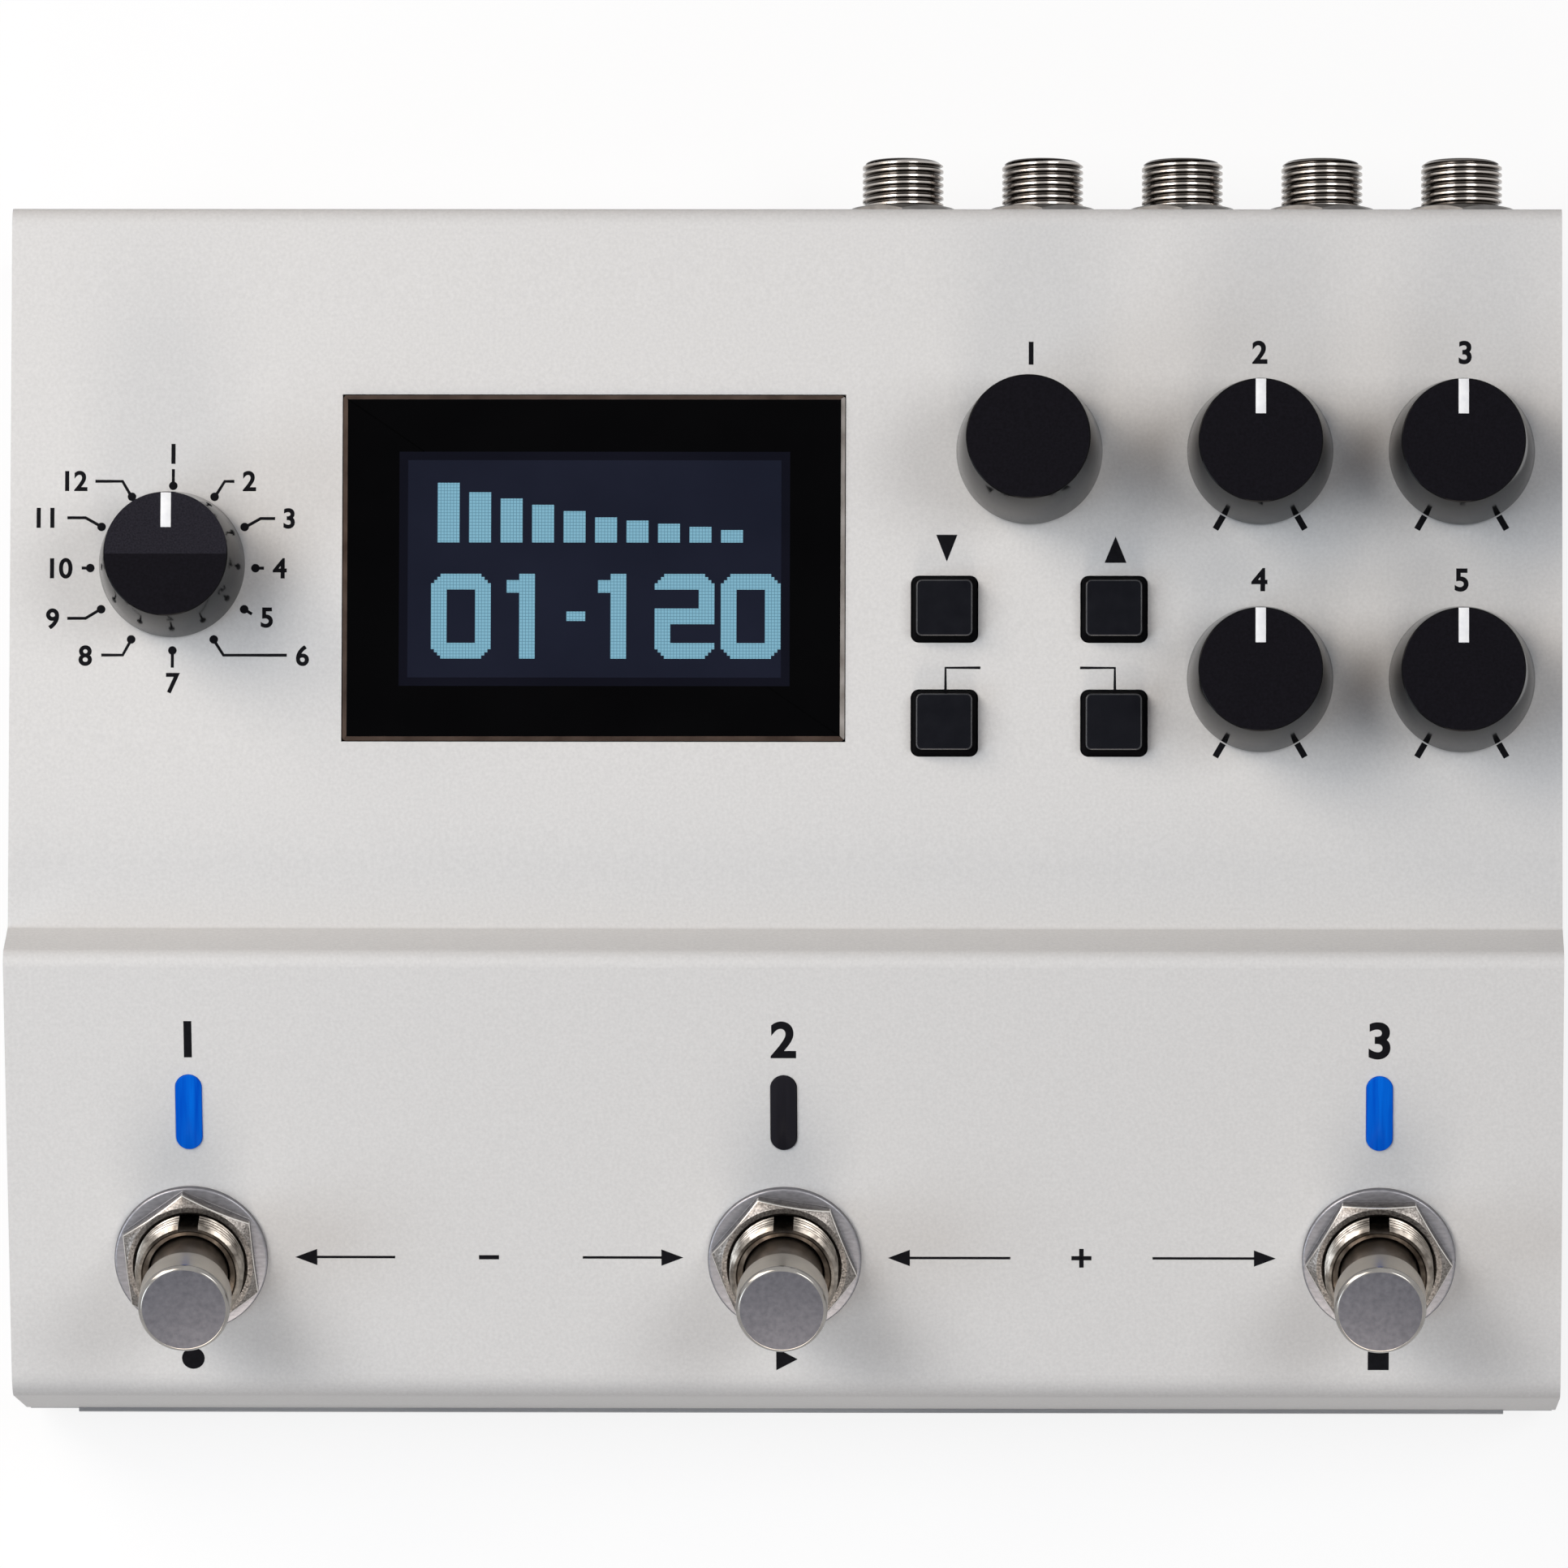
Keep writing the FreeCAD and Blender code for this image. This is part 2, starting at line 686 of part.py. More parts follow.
def bottom_chassis():
    """Base plate with two side walls that follow the cover's underside."""
    chassis = new_body("bottom_chassis")
    depth = "cover_sheet + sheet_gap"
    flats = (REAR, UPPER, RISER, FOOT, FRONT)
    walls = sketch(chassis, "YZ_Plane", "walls")
    top = [inset(c, a, b, depth) for c, a, b in zip(CORNERS, flats, flats[1:])]
    outline(walls, [(top[0][0], "foot_height")] + top + [(f"front_y + {depth}", "foot_height")])
    pad(chassis, walls, "wall_block", "2 * wall_out", SideType="Symmetric")
    plate = sketch(chassis, "XY_Plane", "plate", z="foot_height")
    nose = "wall_out - base_corner"
    outline(plate, [("-wall_out", "front_y"), (f"-({nose})", "front_y"),
                    (f"-({nose})", "front_y - base_lip"), (nose, "front_y - base_lip"),
                    (nose, "front_y"), ("wall_out", "front_y"),
                    ("wall_out", "rear_y"), ("-wall_out", "rear_y")])
    pad(chassis, plate, "base_plate", "base_sheet")
    inside = sketch(chassis, "XZ_Plane", "inside")
    rectangle(inside, "0", "base_top + ridge_height / 2", "2 * wall_in", "ridge_height")
    pocket(chassis, inside, "hollow", SideType="Symmetric")
    openings = sketch(chassis, "XY_Plane", "openings", z="base_top")
    rectangle(openings, "0", "box_row", "box_width + 2 * box_wall + 2 * fit_gap",
              "box_length + 2 * box_wall + 2 * fit_gap")
    for x, y in SCREWS:
        circle(openings, x, y, "screw_radius + screw_gap")
    pocket(chassis, openings, "plate_holes", "base_sheet")
    node(chassis, "bottom_chassis")


def base_screws():
    """Pan-head screws up through the base plate into the cover's lips."""
    screws = []
    for x, y in SCREWS:
        head = cylinder("screw_head_radius", "screw_head", "-screw_head")
        screws.append(place(fuse(head, cylinder("screw_radius", "screw_length")), x, y,
                            "foot_height"))
    group("base_screws", screws)


def rubber_feet():
    feet = []
    rows = ("front_y + foot_front_inset", "rear_y - foot_rear_inset")
    for i, (x, y) in enumerate((side, row) for side in (-1, 1) for row in rows):
        foot = turned(f"rubber_foot_{'abcd'[i]}", [
            ("0", "0"), ("foot_radius - foot_chamfer", "0"), ("foot_radius", "foot_chamfer"),
            ("foot_radius", "foot_height"), ("0", "foot_height")])
        feet.append(place(foot, f"{x} * (wall_out - foot_side_inset)", y))
    group("rubber_feet", feet)


# Display

def display_window():
    """Bevelled black glazing, held by a flange under the panel."""
    window = new_body("display_window")
    glass = sketch(window, "XY_Plane", "glass", z="-cover_sheet")
    rectangle(glass, "0", "0", "window_width", "window_depth")
    pad(window, glass, "pane", "cover_sheet + window_rise")
    dress(window, "Chamfer", "bevel", "window_bevel", at_height("window_rise"))
    rim = sketch(window, "XY_Plane", "rim", z="-cover_sheet - window_flange_sheet")
    rectangle(rim, "0", "0", "window_width + 2 * window_flange",
              "window_depth + 2 * window_flange")
    pad(window, rim, "flange", "window_flange_sheet")
    node(on_upper(window, "display_column", "display_row"), "display_window")


def display_module():
    """Liquid crystal panel in its frame, between the window and the board."""
    height = "panel_board_drop - cover_sheet - window_flange_sheet"
    frame = box("screen_width + 2 * screen_margin", "screen_depth + 2 * screen_margin",
                height, "-panel_board_drop")
    recess = box("screen_width", "screen_depth", "screen_recess",
                 "-cover_sheet - window_flange_sheet - screen_recess")
    node(on_upper(cut(frame, recess), "display_column", "display_row"), "display_module")


# Rotary controls

def control_body(name, side, label):
    """A control's housing on the board with its threaded bush through the panel."""
    x, row = CONTROLS[name]
    height = "panel_board_drop - cover_sheet"
    shell = box(side, side, height, "-panel_board_drop")
    bush = cylinder("bush_radius", "cover_sheet + bush_rise", "-cover_sheet")
    bore = cylinder("shaft_radius + running_gap",
                    "panel_board_drop + bush_rise - control_floor",
                    "-panel_board_drop + control_floor")
    item = on_upper(cut(fuse(shell, bush), bore), x, row)
    return node(item, label) if label else item


def control_bodies():
    control_body("mode", "switch_side", "mode_switch")
    control_body("time", "switch_side", "time_encoder")
    names = ("feedback", "level", "tone", "depth")
    group("pot_bodies", [control_body(name, "control_side", None) for name in names])


def control_nuts():
    nuts = [on_upper(hex_nut("control_nut_flats", "bush_radius + running_gap", "control_nut"),
                     x, row) for x, row in CONTROLS.values()]
    group("control_nuts", nuts)


def control_shaft(name, height):
    """The turning spindle, up into the knob, with a flat along it above the bush."""
    base = "-panel_board_drop + control_floor + running_gap"
    top = f"{height} - knob_roof"
    flat = box("2 * shaft_radius", "shaft_flat", f"{top} - bush_rise", "bush_rise",
               y="shaft_flat / 2 - shaft_radius")
    item = cut(cylinder("shaft_radius", f"{top} - ({base})", base), flat)
    return node(on_upper(item, *CONTROLS[name]), f"{name}_shaft")


def knob(name, height, pointed, creased):
    """A tapered knob: a hollow skirt over the nut, a blind D-shaped hub, a pointer groove.

    A creased one's face falls to the rear from a line across its middle."""
    hub = "bush_rise + knob_hub_gap"
    skirt = "control_nut_flats / 2 / cos(30) + knob_nut_gap"
    bore = "shaft_radius + running_gap"
    roof = f"{height} - knob_roof + running_gap"
    cap = turned(f"{name}_knob", [
        (bore, hub), (skirt, hub), (skirt, "knob_gap"), ("knob_base_radius", "knob_gap"),
        ("knob_base_radius", "knob_gap + knob_band"),
        ("knob_top_radius", f"{height} - knob_chamfer"),
        ("knob_top_radius - knob_chamfer", height), ("0", height), ("0", roof), (bore, roof)])
    land = sketch(cap, "XY_Plane", "land", z=hub)
    rectangle(land, "0", "(shaft_flat - running_gap - knob_hub_gap) / 2 - shaft_radius",
              "2 * shaft_radius", "shaft_flat - running_gap + knob_hub_gap")
    pad(cap, land, "flat_land", f"{roof} - ({hub})")
    groove = "pointer_depth"
    if creased:
        wedge = sketch(cap, "YZ_Plane", "wedge")
        outline(wedge, [("0", height), ("knob_base_radius", height), (
            "knob_base_radius", f"{height} - crease_fall * knob_base_radius / knob_top_radius")])
        pocket(cap, wedge, "crease", SideType="Symmetric")
        groove = "pointer_depth + crease_fall"
    if pointed:
        mark = sketch(cap, "XY_Plane", "pointer", z=height)
        rectangle(mark, "0", "knob_top_radius - pointer_length / 2 + knob_chamfer",
                  "pointer_width", "pointer_length + 2 * knob_chamfer")
        pocket(cap, mark, "pointer_groove", groove)
    node(on_upper(cap, *CONTROLS[name]), f"{name}_knob")


# Push buttons

def push_button(name):
    """A square key, tapered above the panel, with a flange under it and a stem."""
    x, row = BUTTONS[name]
    key = new_body(f"{name}_button")
    neck = sketch(key, "XY_Plane", "neck", z="-flange_drop")
    rounded(neck, "0", "0", "key_side", "key_side", "key_round")
    pad(key, neck, "block", "flange_drop")
    head = sketch(key, "XY_Plane", "head")
    rounded(head, "0", "0", "key_side", "key_side", "key_round")
    crown = pad(key, head, "crown", "key_rise")
    bind(crown, TaperAngle="-atan((key_side - key_top_side) / 2 / key_rise)")
    dress(key, "Fillet", "edge", "key_edge", at_height("key_rise"))
    rim = sketch(key, "XY_Plane", "rim", z="-flange_drop - key_flange")
    side = "key_side + 2 * key_flange_lip"
    rectangle(rim, "0", "0", side, side)
    pad(key, rim, "flange", "key_flange")
    post = sketch(key, "XY_Plane", "post", z="-stem_drop")
    circle(post, "0", "0", "stem_radius")
    pad(key, post, "stem", "stem_length")
    node(on_upper(key, x, row), f"{name}_button")


def tact_switches():
    """Square switch housings on the panel board, with a silicone dome on each."""
    group("tact_switches", [on_upper(held(box("tact_side", "tact_side", "tact_height",
                                              "-panel_board_drop")), x, row)
                            for x, row in BUTTONS.values()])
    domes = []
    for x, row in BUTTONS.values():
        dome = doc.addObject("Part::Cone", "dome")
        bind(dome, Radius1="dome_radius", Radius2="stem_radius",
             Height="panel_board_drop - tact_height - stem_drop")
        place(dome, z="-panel_board_drop + tact_height")
        domes.append(on_upper(held(dome), x, row))
    group("switch_domes", domes)


# Foot switches and lamps

def foot_switch_bushes():
    """Threaded bushes with a keyway on the rear side and a collar under the panel."""
    bushes = []
    for x in SWITCHES.values():
        stem = cylinder("thread_radius", "thread_rise + thread_drop", "-thread_drop")
        collar = cylinder("housing_side / 2 - fit_gap", "collar_sheet", "-thread_drop")
        bore = cylinder("button_radius + running_gap", "thread_rise + thread_drop",
                        "-thread_drop")
        slot = box("keyway_width", "thread_radius", "2 * thread_rise", "-thread_rise",
                   y="button_radius + running_gap + thread_radius / 2 - fit_gap")
        bushes.append(on_foot(cut(fuse(stem, collar), bore, slot), x, "switch_row"))
    group("footswitch_bushes", bushes)


def foot_switch_fittings():
    """Washer and nut above the panel and a lock nut below it, on each bush."""
    bore = "thread_radius + running_gap"
    washers = [on_foot(tube("washer_radius", bore, "washer_sheet"), x, "switch_row")
               for x in SWITCHES.values()]
    group("footswitch_washers", washers)
    nuts = []
    for name, x in SWITCHES.items():
        for base in ("washer_sheet", "-cover_sheet - switch_nut"):
            nut = hex_nut("switch_nut_flats", bore, "switch_nut", base, NUT_TURNS[name])
            nuts.append(on_foot(nut, x, "switch_row"))
    group("footswitch_nuts", nuts)


def foot_switch_housings():
    """Square switch cases, hollow for the plunger and its spring."""
    housings = []
    for x in SWITCHES.values():
        shell = box("housing_side", "housing_side", "housing_height",
                    "-thread_drop - housing_height")
        hollow = cylinder("housing_side / 2 - housing_wall", "housing_height - housing_wall",
                          "-thread_drop - housing_height + housing_wall")
        housings.append(on_foot(cut(shell, hollow), x, "switch_row"))
    group("footswitch_housings", housings)


def foot_button(name):
    """The metal plunger: chamfered head, retaining flange and spring stem."""
    flange = "thread_drop + running_gap + button_flange"
    plunger = turned(f"{name}_foot_button", [
        ("0", f"-({flange}) - button_stem"), ("button_stem_radius", f"-({flange}) - button_stem"),
        ("button_stem_radius", f"-({flange})"),
        ("housing_side / 2 - housing_wall - fit_gap", f"-({flange})"),
        ("housing_side / 2 - housing_wall - fit_gap", "-thread_drop - running_gap"),
        ("button_radius", "-thread_drop - running_gap"),
        ("button_radius", "button_rise - button_chamfer"),
        ("button_radius - button_chamfer", "button_rise"), ("0", "button_rise")])
    node(on_foot(plunger, SWITCHES[name], "switch_row"), f"{name}_foot_button")


def foot_switch_springs():
    """Return springs, each a sleeve of the coil's inner and outer size."""
    top = "-thread_drop - running_gap - button_flange - running_gap"
    floor = "-thread_drop - housing_height + housing_wall"
    for name, x in SWITCHES.items():
        sleeve = tube("spring_radius", "spring_radius - 2 * spring_wire", f"{top} - ({floor})",
                      floor)
        node(on_foot(sleeve, x, "switch_row"), f"{name}_foot_spring")


def lamps():
    """Light windows in the foot panel, over a strip board with one lamp each."""
    lenses = []
    bulbs = []
    for name, x in SWITCHES.items():
        lens = new_body(f"{name}_lens")
        light = sketch(lens, "XY_Plane", "light", z="-cover_sheet")
        stadium(light, "0", "0", "lamp_width - 2 * running_gap", "lamp_length - 2 * running_gap")
        pad(lens, light, "bar", "cover_sheet + lamp_rise")
        rim = sketch(lens, "XY_Plane", "rim", z="-cover_sheet - lamp_flange")
        stadium(rim, "0", "0", "lamp_width + 2 * lamp_flange", "lamp_length + 2 * lamp_flange")
        pad(lens, rim, "flange", "lamp_flange")
        lenses.append(on_foot(lens, x, "lamp_row"))
        height = "lamp_board_drop - cover_sheet - lamp_flange"
        bulb = box("lamp_width", "lamp_length / 2", height, "-lamp_board_drop")
        bulbs.append(on_foot(held(bulb), x, "lamp_row"))
    group("lamp_windows", lenses)
    group("lamps", bulbs)
    strip = box("2 * (switch_column + lamp_board_end)", "lamp_board_depth", "board_sheet",
                "-lamp_board_drop - board_sheet")
    node(on_foot(held(strip), "0", "lamp_row"), "lamp_board")


# Boards

def panel_board():
    board = box("panel_board_width", "panel_front_row - panel_rear_row", "board_sheet",
                "-panel_board_drop - board_sheet")
    node(on_upper(held(board), "0", "(panel_rear_row + panel_front_row) / 2"), "panel_board")


def panel_posts():
    """Posts under the panels that carry the panel board and the lamp board."""
    posts = []
    for sign in (-1, 1):
        for row in ("panel_rear_row + panel_post_inset", "panel_front_row - panel_post_inset"):
            post = cylinder("standoff_radius", "panel_board_drop - cover_sheet",
                            "-panel_board_drop")
            posts.append(on_upper(held(post), f"{sign} * (middle_column + right_column) / 2", row))
        post = cylinder("standoff_radius", "lamp_board_drop - cover_sheet", "-lamp_board_drop")
        posts.append(on_foot(held(post), f"{sign} * switch_column / 2", "lamp_row"))
    group("panel_posts", posts)


def main_board():
    board = box("main_board_width", "main_board_rear - main_board_front", "board_sheet",
                "main_board_height - board_sheet", y="(main_board_rear + main_board_front) / 2")
    node(board, "main_board")
    posts = []
    screws = []
    front = "main_board_front + main_post_inset"
    rear = "jack_wall_y - lip_width - main_post_inset"
    side = "main_board_width / 2 - main_post_inset"
    for x, y in ((f"-({side})", front), (side, front),
                 ("left_post_x", rear), ("right_post_x", rear)):
        posts.append(cylinder("standoff_radius", "main_board_height - board_sheet - base_top",
                              "base_top", x, y))
        screws.append(cylinder("board_head_radius", "screw_head", "main_board_height", x, y))
    group("main_posts", posts)
    group("board_screws", screws)


def ribbon():
    """Flat cable between the panel board and the main board, with a plug at each end."""
    width = "ribbon_width + 2 * plug_margin"
    under = "(panel_board_drop + board_sheet + plug_height)"
    upper_plug = box(width, "plug_height", "plug_height", f"-{under}")
    lower_plug = box(width, "plug_height", "plug_height", "main_board_height",
                     "display_column", "ribbon_y")
    group("ribbon_plugs", [on_upper(held(upper_plug), "display_column", "ribbon_row"),
                           lower_plug])
    base = "main_board_height + plug_height"
    top = f"rear_height - ribbon_row * sin(upper_slope) - {under} - sheet_gap"
    node(box("ribbon_width", "ribbon_sheet", f"{top} - ({base})", base, "display_column",
             "ribbon_y"), "ribbon_cable")


# Rear sockets

def jacks():
    """Five phone sockets: threaded barrel, washer, nut and moulded body."""
    barrels = []
    bodies = []
    washers = []
    nuts = []
    for i, x in enumerate(JACKS):
        start = "-cover_sheet"
        tail = "-cover_sheet - jack_tail"
        relief = "jack_bore + jack_relief"
        barrel = turned(f"jack_barrel_{'abcde'[i]}", [
            (relief, tail), ("jack_tail_radius", tail), ("jack_tail_radius", start),
            ("jack_radius", start), ("jack_radius", "jack_reach - jack_chamfer"),
            ("jack_radius - jack_chamfer", "jack_reach"), ("jack_bore + jack_chamfer", "jack_reach"),
            ("jack_bore", "jack_reach - jack_chamfer"), ("jack_bore", "jack_relief"),
            (relief, "jack_relief")])
        barrels.append(on_rear(barrel, x, "jack_height"))
        height = "2 * (jack_height - main_board_height)"
        shell = box("jack_body_width", height, "jack_body_depth",
                    "-cover_sheet - jack_body_depth")
        seat = cylinder("jack_tail_radius + running_gap", "jack_tail", tail)
        chamber = cylinder(f"{relief} + jack_chamber_gap", "jack_body_depth - 2 * cover_sheet",
                           "-cover_sheet - jack_body_depth + 2 * cover_sheet")
        bodies.append(on_rear(cut(shell, seat, chamber), x, "jack_height"))
        bore = "jack_radius + running_gap"
        washers.append(on_rear(tube("jack_washer_radius", bore, "jack_washer"), x,
                               "jack_height"))
        nut = hex_nut("jack_nut_flats", bore, "jack_nut", "jack_washer", 30.0)
        nuts.append(on_rear(nut, x, "jack_height"))
    group("jack_barrels", barrels)
    group("jack_bodies", bodies)
    group("jack_washers", washers)
    group("jack_nuts", nuts)


def midi_sockets():
    """Two round five-pin sockets: an outer shroud, a ring gap and a core with pin holes."""
    sockets = []
    for x in DINS:
        shell = box("din_width", "din_height", "din_depth", "-cover_sheet - din_depth")
        collar = cylinder("din_radius", "cover_sheet", "-cover_sheet")
        mouth = "din_socket_depth + cover_sheet"
        shroud = "din_radius - din_shroud"
        ring = tube(shroud, f"{shroud} - din_ring", mouth, f"-({mouth})")
        pins = []
        for step in range(5):
            angle = math.radians(180 + 45 * step)
            pins.append(cylinder("din_pin_radius", mouth, f"-({mouth})",
                                 f"{math.cos(angle):.6f} * din_pin_circle",
                                 f"{math.sin(angle):.6f} * din_pin_circle"))
        sockets.append(on_rear(cut(fuse(shell, collar), ring, *pins), x,
                               "main_board_height + din_height / 2"))
    group("midi_sockets", sockets)


def usb_port():
    """A square metal shell with bevelled upper corners round a tongue."""
    port = new_body("usb_port")
    shell = sketch(port, "XY_Plane", "shell", z="-usb_depth")
    rectangle(shell, "0", "0", "usb_width", "usb_height")
    pad(port, shell, "block", "usb_depth")
    mouth = sketch(port, "XY_Plane", "mouth")
    half = "usb_opening / 2"
    outline(mouth, [(f"-{half}", half), (half, half), (half, f"-({half} - usb_corner)"),
                    (f"{half} - usb_corner", f"-{half}"), (f"-({half} - usb_corner)", f"-{half}"),
                    (f"-{half}", f"-({half} - usb_corner)")])
    rectangle(mouth, "0", "0", "usb_tongue_width", "usb_tongue")
    pocket(port, mouth, "cavity", "usb_depth / 2")
    node(on_rear(port, "usb_column", "main_board_height + usb_height / 2"), "usb_port")


def power_socket():
    """The barrel socket for the mains adapter, with its centre pin."""
    shell = box("power_width", "power_height", "power_depth", "-cover_sheet - power_depth")
    collar = cylinder("power_width / 2", "cover_sheet", "-cover_sheet")
    gap = tube("power_bore", "power_pin", "power_socket_depth", "-power_socket_depth")
    node(on_rear(cut(fuse(shell, collar), gap), "power_column",
                 "main_board_height + power_height / 2"), "power_socket")


# Battery compartment

def battery_box():
    """A moulded box for four cells, let down through the base plate and open below."""
    holder = new_body("battery_box")
    outer = sketch(holder, "XY_Plane", "outer", z="foot_height")
    rectangle(outer, "0", "box_row", "box_width + 2 * box_wall", "box_length + 2 * box_wall")
    pad(holder, outer, "block", "box_roof + box_wall - foot_height")
    flange = sketch(holder, "XY_Plane", "flange", z="base_top")
    rectangle(flange, "0", "box_row", "box_width + 2 * box_wall + 2 * box_flange",
              "box_length + 2 * box_wall + 2 * box_flange")
    pad(holder, flange, "rim", "box_wall / 2")
    inner = sketch(holder, "XY_Plane", "inner", z="foot_height")
    rectangle(inner, "0", "box_row", "box_width", "box_length")
    pocket(holder, inner, "hollow", "box_roof - foot_height", Reversed=True)
    notches = sketch(holder, "YZ_Plane", "notches")
    seat = "peg_radius + fit_gap"
    rectangle(notches, "hinge_y", "foot_height + door_sheet / 4", f"2 * ({seat})",
              "door_sheet / 2")
    pocket(holder, notches, "peg_slots", SideType="Symmetric")
    seats = sketch(holder, "YZ_Plane", "seats")
    circle(seats, "hinge_y", "hinge_z", seat)
    pocket(holder, seats, "peg_seats", SideType="Symmetric")
    node(holder, "battery_box")


def battery_contacts():
    """Spring and plate contacts at the two ends of the compartment."""
    contacts = []
    base = "base_top + door_sheet + cell_radius / 2"
    for i in range(4):
        x = f"({i} - 1.5) * (2 * cell_radius + cell_gap)"
        for sign in (-1, 1):
            y = f"box_row + {sign} * (box_length - contact_sheet) / 2"
            contacts.append(box("cell_radius", "contact_sheet", "cell_radius", base, x, y))
    group("battery_contacts", contacts)


def battery_door():
    """The lid under the compartment, turning on two pegs at its front edge."""
    door = new_body("battery_door")
    half = "box_width / 2 - door_gap"
    lid = sketch(door, "YZ_Plane", "lid")
    rectangle(lid, "(hinge_y + door_rear) / 2", "hinge_z", "door_rear - hinge_y", "door_sheet")
    pad(door, lid, "plate", f"2 * ({half})", SideType="Symmetric")
    barrel = sketch(door, "YZ_Plane", "barrel")
    circle(barrel, "hinge_y", "hinge_z", "door_sheet / 2")
    pad(door, barrel, "knuckle", f"2 * ({half})", SideType="Symmetric")
    pegs = sketch(door, "YZ_Plane", "pegs")
    circle(pegs, "hinge_y", "hinge_z", "peg_radius")
    pad(door, pegs, "hinge_pegs", f"2 * ({half}) + 2 * (door_gap + peg_length)",
        SideType="Symmetric")
    scoop = sketch(door, "XY_Plane", "scoop", z="foot_height")
    circle(scoop, "0", "door_rear", "scoop_radius")
    pocket(door, scoop, "finger_scoop", "door_sheet / 2", Reversed=True)
    node(door, "battery_door")


top_cover()
bottom_chassis()
base_screws()
rubber_feet()
display_window()
display_module()
control_bodies()
control_nuts()
for control in CONTROLS:
    tall = control == "time"
    tip = "time_knob_height" if tall else "knob_height"
    control_shaft(control, tip)
    knob(control, tip, not tall, control == "mode")
for button in BUTTONS:
    push_button(button)
tact_switches()
foot_switch_bushes()
foot_switch_fittings()
foot_switch_housings()
for switch in SWITCHES:
    foot_button(switch)
foot_switch_springs()
lamps()
panel_board()
panel_posts()
main_board()
ribbon()
jacks()
midi_sockets()
usb_port()
power_socket()
battery_box()
battery_contacts()
battery_door()
doc.recompute()

for item in doc.Objects:
    if "Invalid" in item.State or "Error" in item.State:
        raise RuntimeError(f"{item.Name} failed: {item.State}")
for item in nodes:
    if item.Shape.isNull() or not item.Shape.isValid():
        raise RuntimeError(f"{item.Label} has no valid shape")
for item in nodes:
    item.Shape.exportStep(f"parts/{item.Label}.step")
    print(f"{item.Label}: {len(item.Shape.Solids)} solids, {item.Shape.Volume:.1f} mm3")
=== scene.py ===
import bpy
import math
from mathutils import Matrix, Vector


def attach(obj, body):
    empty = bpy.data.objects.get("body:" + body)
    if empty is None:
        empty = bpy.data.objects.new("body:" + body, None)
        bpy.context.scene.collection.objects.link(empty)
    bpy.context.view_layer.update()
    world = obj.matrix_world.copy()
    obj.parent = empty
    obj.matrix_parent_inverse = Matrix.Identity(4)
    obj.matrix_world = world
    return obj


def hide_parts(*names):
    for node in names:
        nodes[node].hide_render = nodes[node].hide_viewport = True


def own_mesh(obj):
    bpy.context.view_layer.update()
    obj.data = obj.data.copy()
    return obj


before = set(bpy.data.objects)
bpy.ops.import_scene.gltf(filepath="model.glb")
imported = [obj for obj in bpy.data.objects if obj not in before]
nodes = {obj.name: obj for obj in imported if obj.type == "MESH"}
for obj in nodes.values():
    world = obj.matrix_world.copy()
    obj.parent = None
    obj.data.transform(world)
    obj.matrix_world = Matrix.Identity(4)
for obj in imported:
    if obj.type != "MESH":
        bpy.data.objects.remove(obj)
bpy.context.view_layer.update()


# Rubber feet. Four black moulded discs under the base, with a chamfer at the floor.
# They are nitrile rubber, dull and slightly dusty, pressed over the base's front and rear screws.
noise_low, noise_high = 0.3, 0.7


def tone(red, green, blue):
    """A colour as the eye reads it, 0 to 255, turned into Blender's linear colour."""
    parts = []
    for part in (red, green, blue):
        part /= 255
        parts.append(part / 12.92 if part <= 0.04045 else ((part + 0.055) / 1.055) ** 2.4)
    return (*parts, 1.0)


def clouded(name, dark, light, patch, rough, metal=0.0, gloss=0.5, stretch=(1, 1, 1)):
    """A finish whose colour drifts from dark to light over patches of the given size in metres."""
    finish = bpy.data.materials.new(name)
    finish.use_nodes = True
    tree = finish.node_tree
    shader = tree.nodes["Principled BSDF"]
    shader.inputs["Metallic"].default_value = metal
    shader.inputs["Roughness"].default_value = rough
    shader.inputs["Specular IOR Level"].default_value = gloss
    where = tree.nodes.new("ShaderNodeTexCoord")
    lay = tree.nodes.new("ShaderNodeMapping")
    lay.inputs["Scale"].default_value = stretch
    clouds = tree.nodes.new("ShaderNodeTexNoise")
    clouds.inputs["Scale"].default_value = 1 / patch
    clouds.inputs["Detail"].default_value = 4
    ramp = tree.nodes.new("ShaderNodeValToRGB")
    ramp.color_ramp.elements[0].position = noise_low
    ramp.color_ramp.elements[0].color = dark
    ramp.color_ramp.elements[1].position = noise_high
    ramp.color_ramp.elements[1].color = light
    tree.links.new(where.outputs["Object"], lay.inputs["Vector"])
    tree.links.new(lay.outputs["Vector"], clouds.inputs["Vector"])
    tree.links.new(clouds.outputs["Fac"], ramp.inputs["Fac"])
    tree.links.new(ramp.outputs["Color"], shader.inputs["Base Color"])
    return finish


def grained(finish, size, height):
    """Gives a finish a fine raised grain, its size and height in metres."""
    tree = finish.node_tree
    grain = tree.nodes.new("ShaderNodeTexNoise")
    grain.inputs["Scale"].default_value = 1 / size
    grain.inputs["Detail"].default_value = 2
    bump = tree.nodes.new("ShaderNodeBump")
    bump.inputs["Distance"].default_value = height
    tree.links.new(tree.nodes["Mapping"].outputs["Vector"], grain.inputs["Vector"])
    tree.links.new(grain.outputs["Fac"], bump.inputs["Height"])
    tree.links.new(bump.outputs["Normal"], tree.nodes["Principled BSDF"].inputs["Normal"])
    return finish


